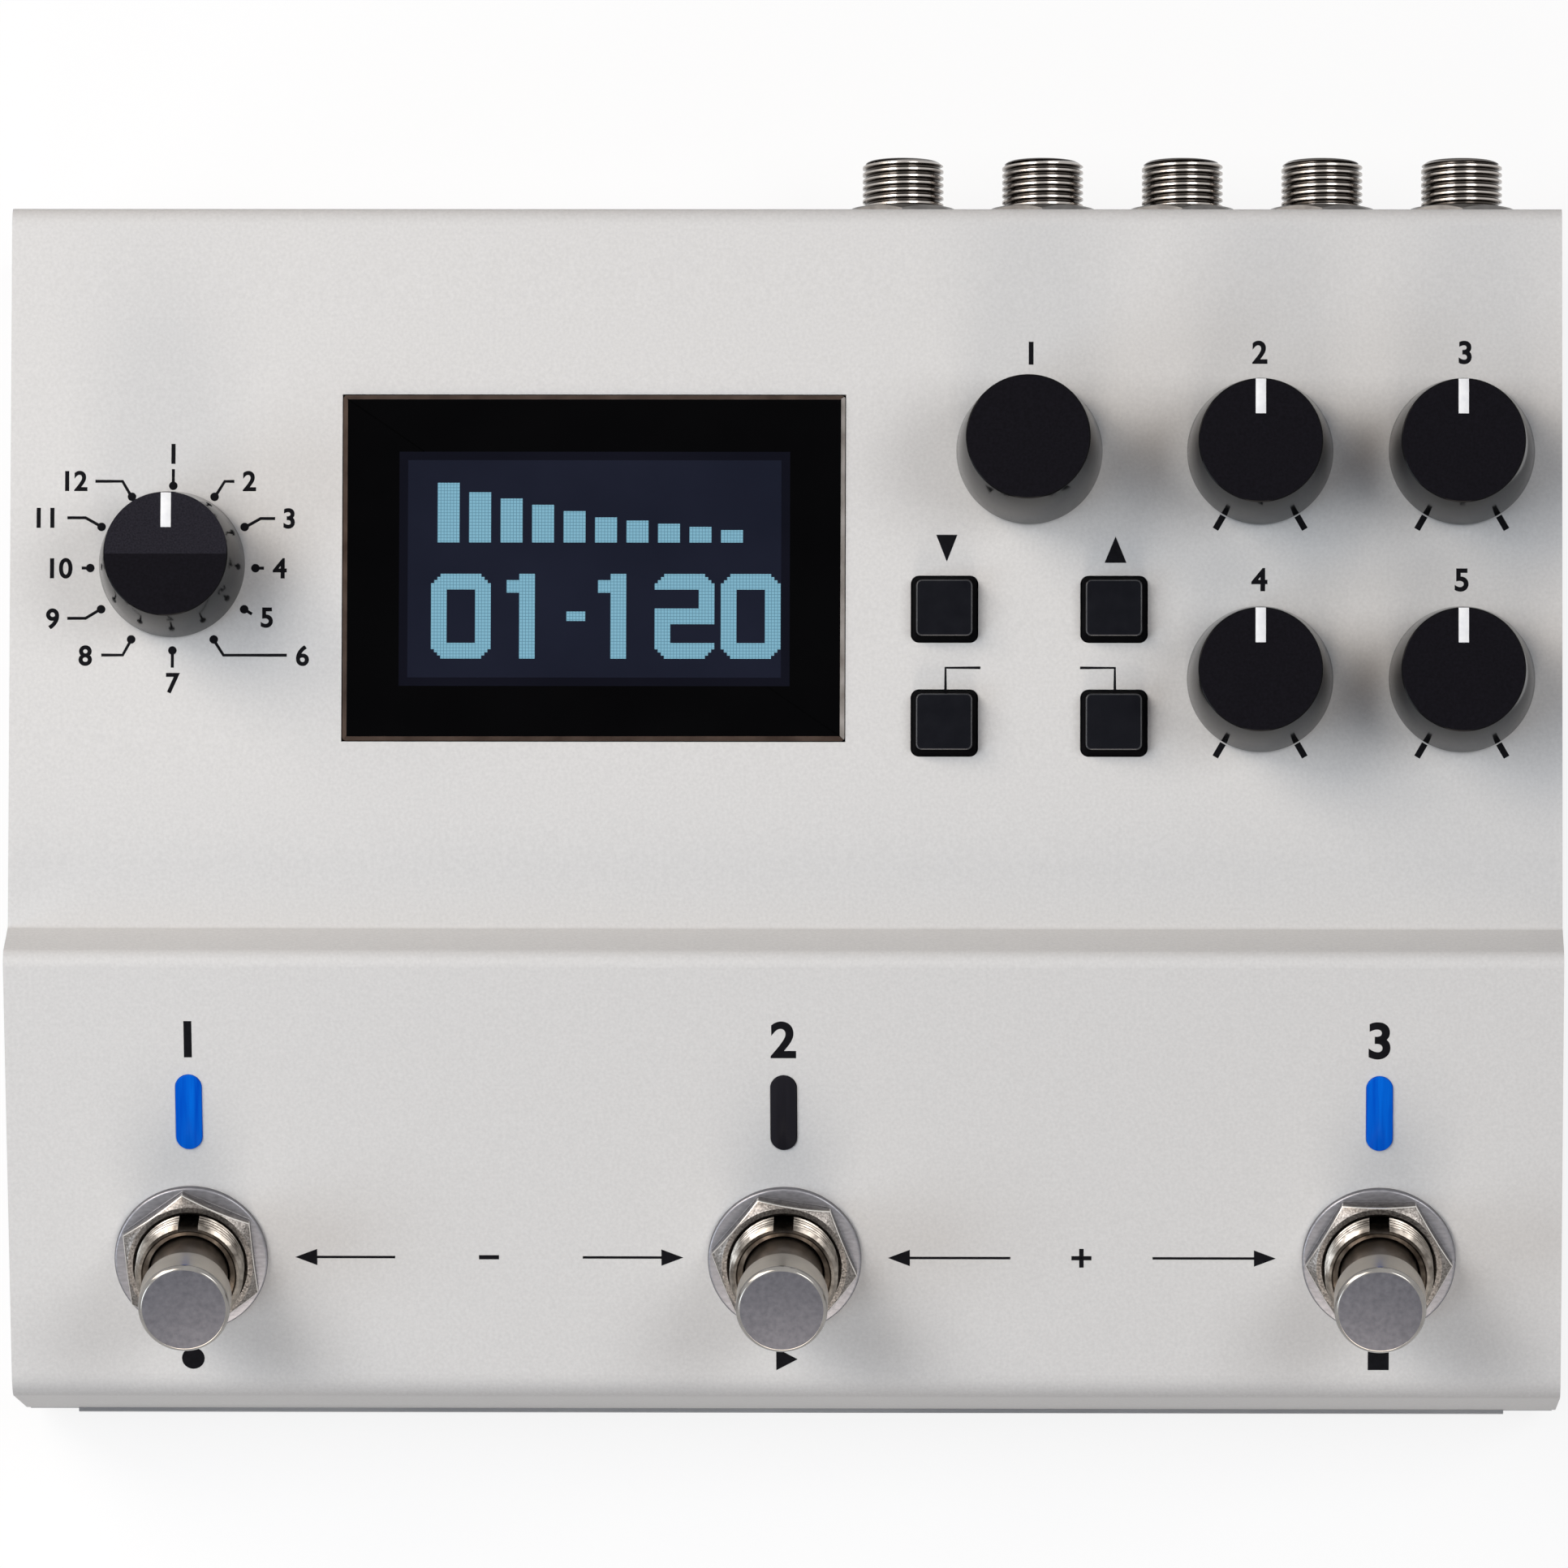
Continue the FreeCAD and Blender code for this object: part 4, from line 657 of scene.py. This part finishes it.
# The dots themselves are in the finish, which counts them from the corner of the field of dots
# and darkens the gap on two sides of each.
dot_gap = 0.16
lit_dots = bpy.data.materials.new("lit_dots")
lit_dots.use_nodes = True
tree = lit_dots.node_tree
shader = tree.nodes["Principled BSDF"]
shader.inputs["Roughness"].default_value = 0.2
shader.inputs["Specular IOR Level"].default_value = 0.012
shader.inputs["Emission Strength"].default_value = 0.4
where = tree.nodes.new("ShaderNodeTexCoord")
lay = tree.nodes.new("ShaderNodeMapping")
lay.vector_type = "TEXTURE"
lay.inputs["Location"].default_value = ((screen_x - dots_left) / 1000, rear_wall / 1000,
                                        rear_edge / 1000)
lay.inputs["Rotation"].default_value = (upper_tilt, 0, 0)
lay.inputs["Scale"].default_value = (dot_pitch / 1000, dot_pitch / 1000, 1)
weave = tree.nodes.new("ShaderNodeSeparateXYZ")
tree.links.new(where.outputs["Object"], lay.inputs["Vector"])
tree.links.new(lay.outputs["Vector"], weave.inputs["Vector"])
gaps = []
for axis in ("X", "Y"):
    part = tree.nodes.new("ShaderNodeMath")
    part.operation = "FRACT"
    edge = tree.nodes.new("ShaderNodeMath")
    edge.operation = "GREATER_THAN"
    edge.inputs[1].default_value = dot_gap
    tree.links.new(weave.outputs[axis], part.inputs[0])
    tree.links.new(part.outputs["Value"], edge.inputs[0])
    gaps.append(edge)
both = tree.nodes.new("ShaderNodeMath")
both.operation = "MULTIPLY"
tree.links.new(gaps[0].outputs["Value"], both.inputs[0])
tree.links.new(gaps[1].outputs["Value"], both.inputs[1])
glow = tree.nodes.new("ShaderNodeValToRGB")
glow.color_ramp.elements[0].color = tone(76, 112, 130)
glow.color_ramp.elements[1].color = tone(108, 152, 170)
tree.links.new(both.outputs["Value"], glow.inputs["Fac"])
tree.links.new(glow.outputs["Color"], shader.inputs["Base Color"])
tree.links.new(glow.outputs["Color"], shader.inputs["Emission Color"])
paint(figures, lit_dots)
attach(figures, "case")

# Rotary controls. Potentiometers, an encoder and a rotary switch, held by nuts under the knobs,
# with brass shafts. The knobs are moulded black: gloss flanks, a flat matt face with a sharp
# rim, a hollow skirt that hides the nut, and on five of them a groove filled with white paint.
turned_brass = clouded("turned_brass", tone(190, 156, 88), tone(214, 182, 112), 0.002, 0.3, 1.0)
dress(turned_brass, *(f"{name}_shaft" for name in ("mode", "time", *pointer_knobs)))
dress(plated_nickel, "control_nuts")
dress(plug_black, "mode_switch", "time_encoder", "pot_bodies")

knob_gloss = clouded("knob_gloss", tone(10, 10, 11), tone(14, 14, 15), 0.004, 0.12, gloss=0.055)
scuffed(knob_gloss, 0.002, 0.1, 0.15)
knob_matt = grained(clouded("knob_matt", tone(15, 14, 18), tone(21, 20, 25), 0.0003, 0.5,
                            gloss=0.02), 0.00015, 0.00001)
# The rear half of the mode knob's face, which falls by its lean, has a coarser grain and a lighter
# colour: a painted sheen for the light its tilted half catches.
knob_grain_painted_sheen = grained(clouded("knob_grain_painted_sheen", tone(26, 25, 31), tone(40, 39, 46), 0.0002, 0.5,
                             gloss=0.03), 0.00015, 0.00002)
pointer_white = grained(clouded("pointer_white", tone(224, 226, 229), tone(238, 240, 241),
                                0.001, 0.5), 0.0003, 0.00001)


def make_knob(name, height, x, row, pointed=True, lean=0.0):
    """One knob. With a lean, the rear half of its face falls by that angle from a crease."""
    bore, hollow, base, brow = 3.05, 6.6, 8.0, 6.8
    gap, ceiling, thickness = 0.5, 4.0, 1.95
    pointer_width, groove_foot = 1.15, -0.22
    knob = turn(f"{name}_cap", [
        (bore, ceiling), (hollow, ceiling), (hollow, gap), (base - 0.1, gap), (base, gap + 0.1),
        (base, gap + 0.45), (brow, height - 0.2), (brow - 0.04, height - 0.07),
        (brow - 0.15, height), (0, height), (0, height - thickness),
        (bore, height - thickness)], 128)
    paint(knob, knob_gloss)
    falling = Matrix.Translation((0, 0, height / 1000)) @ Matrix.Rotation(-lean, 4, "X")
    if lean:
        carve(knob, seat(box("plane_cut", 20, 12, 4, 0, 6, 0), falling))
    if pointed:
        carve(knob, seat(box("slot", pointer_width, 4.2, 1.0, 0, 5.0, groove_foot), falling))
    refinish(knob, knob_matt, lambda face: face.normal.z > 0.9
             and face.center.z > (height - 0.5) / 1000)
    if lean:
        # The falling rear half of the face takes the finish with the painted sheen.
        refinish(knob, knob_grain_painted_sheen, lambda face: face.material_index == 1
                 and face.center.y > 0.00001)
    smooth(knob)
    place = spot(upper_panel, x, row)
    seat(knob, place)
    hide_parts(f"{name}_knob")
    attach(knob, f"{name}_dial")
    if pointed:
        line = box(f"{name}_pointer", pointer_width, 3.82, 0.2, 0, 4.82, groove_foot)
        finish_modifier(line, "BEVEL", width=0.00004, segments=2)
        seat(line, place @ falling)
        paint(line, pointer_white)
        smooth(line)
        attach(line, f"{name}_dial")


make_knob("mode", 13.5, -67.2, 39.5, lean=math.radians(2))
make_knob("time", 17.4, 26.7, 27.0, pointed=False)
for name, (x, row) in pointer_knobs.items():
    make_knob(name, 13.5, x, row)

# Keys. Four square black caps that taper to a flat face with a fine polished edge, its lighter
# colour a painted highlight, each moulded with a square flange that keeps it under the panel and a
# stem that rests on a silicone dome.
key_black = grained(clouded("key_black", tone(6, 6, 8), tone(10, 10, 12), 0.002, 0.6,
                            gloss=0.004), 0.0002, 0.00001)
key_face = grained(clouded("key_face", tone(19, 20, 25), tone(24, 25, 30), 0.002, 0.45,
                           gloss=0.02), 0.0002, 0.00001)
key_polish_highlight = clouded("key_polish_highlight", tone(30, 31, 35), tone(46, 47, 51), 0.001, 0.25, gloss=0.4)

key_side, key_top, key_rise, key_depth, key_travel = 7.15, 6.1, 2.0, 1.25, 0.5
flange_side, flange_depth, stem_radius = 8.55, 0.9, 1.5
flange_foot = -key_depth - flange_depth
dome_top, dome_foot, dome_radius = -3.75, -6.2, 2.0
key = box("key", key_side, key_side, key_depth, z=-key_depth)
pick(key, lambda face: face.normal.z > 0.9)
bpy.ops.mesh.extrude_region_move(TRANSFORM_OT_translate={"value": (0, 0, key_rise / 1000)})
bpy.ops.transform.resize(value=(key_top / key_side, key_top / key_side, 1))
bpy.ops.object.mode_set(mode="OBJECT")
round_corners(key, 0.6)
pick(key, lambda face: face.normal.z > 0.9)
bpy.ops.mesh.bevel(offset=0.00011, segments=3)
bpy.ops.object.mode_set(mode="OBJECT")
paint(key, key_black)
refinish(key, key_face, lambda face: face.normal.z > 0.99)
# The bevel round the face is glossier and painted lighter: a painted highlight along the edge.
refinish(key, key_polish_highlight, lambda face: 0.35 < face.normal.z < 0.99)
smooth(key, 20)
flange = paint(box("key_flange", flange_side, flange_side, flange_depth, z=flange_foot),
               key_black)
finish_modifier(flange, "BEVEL", width=0.0001, segments=1)
stem = paint(turn("key_stem", [(0, dome_top), (stem_radius - 0.1, dome_top),
                               (stem_radius, dome_top + 0.1), (stem_radius, flange_foot),
                               (0, flange_foot)], 32), key_black)
key = together("key", key, flange, stem)
key_places = (("down", 17.425, 44.3), ("up", 35.975, 44.3),
              ("exit", 17.425, 56.8), ("edit", 35.975, 56.8))
for name, x, row in key_places:
    copy = seat(spare(key, f"{name}_key_cap"), spot(upper_panel, x, row))
    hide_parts(f"{name}_button")
    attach(copy, f"{name}_key")
bpy.data.objects.remove(key)

milky_silicone = clouded("milky_silicone", tone(214, 213, 205), tone(228, 227, 220), 0.002, 0.6)
for name, x, row in key_places:
    dome = paint(turn(f"{name}_dome", [
        (0, dome_top), (stem_radius - 0.1, dome_top), (stem_radius, dome_top - 0.1),
        (dome_radius, dome_foot + 0.3), (dome_radius, dome_foot), (0, dome_foot)], 48),
        milky_silicone)
    smooth(dome)
    seat(dome, spot(upper_panel, x, row))
    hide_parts("switch_domes")
    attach(dome, "case")
    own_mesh(dome)

# Foot switches. Each has a nickel-plated bush with a fine M12 thread, a collar in its bore and a
# keyway to the rear, a washer and nut above the sheet, a lock nut below it, and a steel plunger:
# a broad head with a rounded rim and a dull face on a narrower stem. A coil spring lifts it.
mirror_steel = clouded("mirror_steel", tone(160, 153, 144), tone(178, 172, 163), 0.004, 0.34,
                       1.0)
rim_steel = clouded("rim_steel", tone(132, 129, 126), tone(150, 147, 143), 0.002, 0.14, 1.0)
stem_steel_painted_shade = clouded("stem_steel_painted_shade", tone(116, 107, 99), tone(146, 137, 129), 0.002, 0.3, 1.0)
dull_steel = grained(clouded("dull_steel", tone(84, 84, 90), tone(96, 96, 102), 0.0006, 0.42,
                             1.0), 0.0001, 0.000008)
washer_steel = grained(clouded("washer_steel", tone(118, 117, 121), tone(136, 135, 139), 0.0008,
                               0.34, 1.0, stretch=(1, 3, 1)), 0.0002, 0.000006)
nut_nickel = clouded("nut_nickel", tone(100, 95, 91), tone(150, 145, 139), 0.0007, 0.2, 1.0)
scuffed(nut_nickel, 0.0004, 0.12, 0.3)
nut_rough = grained(clouded("nut_rough", tone(74, 70, 67), tone(136, 131, 127), 0.00022, 0.3,
                            1.0), 0.00018, 0.00003)
bush_nickel_painted_shade = clouded("bush_nickel_painted_shade", tone(86, 80, 74), tone(146, 139, 131), 0.001, 0.2, 1.0)
nut_edge_highlight = clouded("nut_edge_highlight", tone(206, 203, 198), tone(226, 223, 219), 0.001, 0.16, 1.0)

switch_row = 35.3
bush_top, bush_foot, brim_depth, brim_radius = 5.8, -7.0, 1.0, 7.9
bush_bore, bush_root, bush_crest, collar = 5.05, 5.62, 5.95, 4.4
keyway_width, keyway_depth, keyway_place = 2.2, 2.0, bush_bore + 1.15
bush = turn("bush", [(collar, bush_foot - brim_depth), (brim_radius, bush_foot - brim_depth),
                     (brim_radius, bush_foot), (bush_root, bush_foot),
                     (bush_root, bush_top - 0.25), (bush_root - 0.1, bush_top),
                     (bush_bore + 0.18, bush_top), (bush_bore, bush_top - 0.18),
                     (bush_bore, bush_top - 0.5), (collar + 0.12, bush_top - 0.66),
                     (collar, bush_top - 0.8)])
wind = thread("wind", bush_crest, bush_root, thread_pitch, bush_foot, bush_top, 0.4)
for part in (bush, wind):
    carve(part, box("keyway", keyway_width, keyway_depth, 2 * bush_top + 0.2, 0, keyway_place,
                    -bush_top))
# The bush is painted a dark brownish nickel, painted shade for the shadow it lies in round the
# plunger.
bush = paint(together("bush", bush, wind), bush_nickel_painted_shade)
smooth(bush, 25)

washer_bore, washer_radius, washer_height = 6.0, 8.4, 0.8
washer = turn("washer", [(washer_bore, 0.0), (washer_radius - 0.1, 0.0), (washer_radius, 0.1),
                         (washer_radius, 0.6), (washer_radius - 0.04, 0.7),
                         (washer_radius - 0.14, 0.78), (washer_radius - 0.25, washer_height),
                         (washer_bore + 0.1, washer_height), (washer_bore, 0.7)], 128)
paint(washer, washer_steel)
smooth(washer, 35)

across_flats, nut_height, nut_bore, crown = 14.0, 2.0, 6.0, 9.0
bpy.ops.object.select_all(action="DESELECT")
bpy.ops.mesh.primitive_cylinder_add(vertices=6, radius=across_flats / math.sqrt(3) / 1000,
                                    depth=nut_height / 1000,
                                    location=(0, 0, nut_height / 2000),
                                    rotation=(0, 0, math.radians(30)))
nut = bpy.context.object
bpy.ops.object.transform_apply(location=True, rotation=True, scale=True)
land = across_flats / 2 - 0.15
drop = math.tan(math.radians(30))
carve(nut, turn("crown", [(0, -0.1), (crown, -0.1), (crown, nut_height - (crown - land) * drop),
                          (land, nut_height), (0, nut_height)], 128), "INTERSECT")
carve(nut, turn("hole", [(0, -1.0), (nut_bore, -1.0), (nut_bore, nut_height - 0.3),
                         (nut_bore + 0.6, nut_height + 0.3), (0, nut_height + 0.3)], 96))
paint(nut, nut_nickel)
refinish(nut, nut_rough, lambda face: face.normal.z > 0.6)
# The nut's bevelled edges get a pale finish of their own: a painted highlight for the glints along
# them.
nut.data.materials.append(nut_edge_highlight)
finish_modifier(nut, "BEVEL", width=0.0001, segments=2, limit_method="ANGLE",
                angle_limit=math.radians(50), material=2)
smooth(nut)

button_top, head_height, head, stem = 16.1, 4.5, 5.0, 4.25
guide, guide_foot, plate, plate_foot, plate_top = 2.0, -13.95, 6.7, -9.55, -8.05
head_foot, rim_foot = button_top - head_height, 15.0
plunger = turn("plunger", [(0, guide_foot), (guide, guide_foot), (guide, plate_foot),
                           (plate, plate_foot), (plate, plate_top), (stem, plate_top),
                           (stem, head_foot), (head - 0.15, head_foot), (head, head_foot + 0.15),
                           (head, button_top - 0.58), (head - 0.03, button_top - 0.42),
                           (head - 0.1, button_top - 0.26), (head - 0.28, button_top - 0.07),
                           (head - 0.36, button_top - 0.015), (head - 0.45, button_top),
                           (0, button_top)], 128)
paint(plunger, mirror_steel)
refinish(plunger, dull_steel, lambda face: face.normal.z > 0.99
         and face.center.z > rim_foot / 1000)
refinish(plunger, rim_steel, lambda face: 0.1 < face.normal.z < 0.99
         and face.center.z > rim_foot / 1000)
# The stem under the head is painted a darker brownish steel: painted shade under the head's
# overhang.
refinish(plunger, stem_steel_painted_shade, lambda face: face.center.z < (head_foot + 0.01) / 1000)
smooth(plunger, 35)

bushes, washers, nuts = [], [], []
for (side, x), turned in zip(switch_columns.items(), (36, 51, 0)):
    post = spot(foot_panel, x, switch_row)
    bushes.append(seat(spare(bush, f"{side}_bush"), post))
    any_turn = Matrix.Rotation(x, 4, "Z")
    washers.append(seat(spare(washer, f"{side}_washer"), post @ any_turn))
    for height in (washer_height, -sheet - nut_height):
        nuts.append(seat(spare(nut, f"{side}_nut"), spot(foot_panel, x, switch_row, height)
                         @ Matrix.Rotation(math.radians(turned), 4, "Z")))
    button = seat(spare(plunger, f"{side}_plunger_head"), post)
    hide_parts(f"{side}_foot_button")
    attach(button, f"{side}_plunger")
for pattern in (bush, washer, nut, plunger):
    bpy.data.objects.remove(pattern)
for name, parts, node in (("threaded_bushes", bushes, "footswitch_bushes"),
                          ("switch_washers", washers, "footswitch_washers"),
                          ("switch_nuts", nuts, "footswitch_nuts")):
    fitting = together(name, *parts)
    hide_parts(node)
    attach(fitting, "case")

spring_top, spring_foot, foot_travel = -9.6, -20.8, 2.5
wire_radius, coil_radius, coil_turns = 0.5, 3.0, 6
coil_rise = (spring_top - spring_foot - 2 * wire_radius) / coil_turns
for side, x in switch_columns.items():
    bpy.ops.object.select_all(action="DESELECT")
    bpy.ops.mesh.primitive_circle_add(vertices=10, radius=wire_radius / 1000,
                                      location=(coil_radius / 1000, 0,
                                                (spring_foot + wire_radius) / 1000),
                                      rotation=(math.radians(90), 0, 0))
    spring = bpy.context.object
    spring.name = f"{side}_spring"
    bpy.ops.object.transform_apply(location=True, rotation=True, scale=True)
    coil(spring, coil_rise, coil_turns, 24)
    smooth(spring, 50)
    paint(spring, bright_zinc)
    seat(spring, spot(foot_panel, x, switch_row))
    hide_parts(f"{side}_foot_spring")
    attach(spring, "case")
    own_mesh(spring)

# Lamp windows. Three clear plastic bars with round ends, pressed into slots of the foot panel,
# each over its own lamp. The left and right ones are lit blue and the centre one is dark.
lamp_row, lamp_rise, lamp_width, lamp_length = 18.3, 0.25, 2.85, 8.6
lens_brim, lens_brim_depth = 1.05, 1.0


def bar(name, width, length, base, high, finish):
    """A plastic bar with round ends and a softened upper edge."""
    piece = box(name, width, length, high, z=base)
    round_corners(piece, width * 0.499, 12)
    pick(piece, lambda face: face.normal.z > 0.9)
    bpy.ops.mesh.bevel(offset=0.00012, segments=3)
    bpy.ops.object.mode_set(mode="OBJECT")
    smooth(piece, 35)
    return paint(piece, finish)


lamp_blue = clouded("lamp_blue", tone(0, 60, 158), tone(3, 86, 180), 0.0005, 0.25, gloss=0.03,
                    stretch=(1, 0.05, 0.05))
tree = lamp_blue.node_tree
shader = tree.nodes["Principled BSDF"]
tree.links.new(tree.nodes["Color Ramp"].outputs["Color"], shader.inputs["Emission Color"])
shader.inputs["Emission Strength"].default_value = 0.55
lamp_smoke = clouded("lamp_smoke", tone(29, 28, 33), tone(35, 34, 39), 0.001, 0.25, gloss=0.03,
                     stretch=(1, 0.05, 0.05))
lenses = []
for x, finish in zip(switch_columns.values(), (lamp_blue, lamp_smoke, lamp_blue)):
    for part in (bar("lens", lamp_width, lamp_length, -sheet, sheet + lamp_rise, finish),
                 bar("lens_flange", lamp_width + 2 * lens_brim, lamp_length + 2 * lens_brim,
                     -sheet - lens_brim_depth, lens_brim_depth, finish)):
        lenses.append(seat(part, spot(foot_panel, x, lamp_row)))
lamp_lenses = together("lamp_lenses", *lenses)
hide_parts("lamp_windows")
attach(lamp_lenses, "case")
dress(milky_silicone, "lamps")

# Studio. A pale floor that keeps a little of the pedal's shadow, an even sky that is white
# wherever it is seen or mirrored, and six soft square lamps: four on the left, from the front
# corner round to the rear, one in front and one high on the right.
def white_when_seen(tree, lit, seen):
    """Shows one shader to rays from the camera and to mirrored and clear ones, and lights with
    the other."""
    ray = tree.nodes.new("ShaderNodeLightPath")
    either = tree.nodes.new("ShaderNodeMath")
    either.operation = "MAXIMUM"
    any_of = tree.nodes.new("ShaderNodeMath")
    any_of.operation = "MAXIMUM"
    mix = tree.nodes.new("ShaderNodeMixShader")
    tree.links.new(ray.outputs["Is Camera Ray"], either.inputs[0])
    tree.links.new(ray.outputs["Is Glossy Ray"], either.inputs[1])
    tree.links.new(either.outputs["Value"], any_of.inputs[0])
    tree.links.new(ray.outputs["Is Transmission Ray"], any_of.inputs[1])
    tree.links.new(any_of.outputs["Value"], mix.inputs["Fac"])
    tree.links.new(lit, mix.inputs[1])
    tree.links.new(seen, mix.inputs[2])
    return mix.outputs["Shader"]


bpy.ops.object.select_all(action="DESELECT")
shadowless = 0.85
bpy.ops.mesh.primitive_plane_add(size=3.0, location=(0, 0, 0))
floor = bpy.context.object
floor.name = "floor"
floor_grey = clouded("floor_grey", tone(146, 147, 150), tone(152, 153, 156), 0.2, 0.9, gloss=0.0)
tree = floor_grey.node_tree
glow = tree.nodes.new("ShaderNodeEmission")
pale = tree.nodes.new("ShaderNodeBsdfDiffuse")
pale.inputs["Color"].default_value = tone(250, 250, 250)
shadowed = tree.nodes.new("ShaderNodeMixShader")
shadowed.inputs["Fac"].default_value = shadowless
tree.links.new(pale.outputs["BSDF"], shadowed.inputs[1])
tree.links.new(glow.outputs["Emission"], shadowed.inputs[2])
tree.links.new(white_when_seen(tree, tree.nodes["Principled BSDF"].outputs["BSDF"],
                               shadowed.outputs["Shader"]),
               tree.nodes["Material Output"].inputs["Surface"])
paint(floor, floor_grey)

sky = bpy.data.worlds.new("sky")
bpy.context.scene.world = sky
sky.use_nodes = True
tree = sky.node_tree
even = tree.nodes["Background"]
even.inputs["Color"].default_value = (0.7, 0.76, 1.0, 1.0)
even.inputs["Strength"].default_value = 0.11
seen = tree.nodes.new("ShaderNodeBackground")
seen.inputs["Color"].default_value = (1, 1, 1, 1)
seen.inputs["Strength"].default_value = 1.0
tree.links.new(white_when_seen(tree, even.outputs["Background"], seen.outputs["Background"]),
               tree.nodes["World Output"].inputs["Surface"])


def lamp(name, power, place, colour=(1, 1, 1)):
    """A square soft lamp at a place, turned to the middle of the pedal."""
    side, middle = 0.42, Vector((0, 0, 0.03))
    bpy.ops.object.light_add(type="AREA", location=place)
    light = bpy.context.object
    light.name = name
    light.data.energy = power
    light.data.size = side
    light.data.color = colour
    light.rotation_euler = (middle - Vector(place)).to_track_quat("-Z", "Y").to_euler()


warm, cool, pale_blue = (1.0, 0.89, 0.78), (0.8, 0.9, 1.0), (0.95, 0.97, 1.0)
lamp("key_lamp", 3.65, (-0.56, 0.08, 0.95), pale_blue)
lamp("key_front", 2.15, (-0.75, -0.4, 0.55), cool)
lamp("key_rear", 2.55, (-0.7, 0.42, 0.5), warm)
lamp("rear_lamp", 2.55, (-0.48, 0.42, 0.85), warm)
lamp("front_lamp", 2.75, (0.0, -0.95, 0.45), warm)
lamp("right_lamp", 3.05, (0.56, 0.08, 0.95))

bpy.context.scene.view_settings.view_transform = "Standard"

# Camera. It hangs almost straight over the pedal, two metres up with a long lens, and leans
# about six degrees to the front, as the photograph shows the knobs' flanks and the front face.
# Its place, angles and lens are those that fit the edges of the case in the photograph.
bpy.ops.object.camera_add(location=(0.04197, -0.2087, 1.95546))
camera = bpy.context.object
camera.rotation_mode = "ZYX"
camera.rotation_euler = (0.10718, 0.02187, 0.00108)
camera.data.sensor_width = 36
camera.data.lens = 403.76
bpy.context.scene.camera = camera
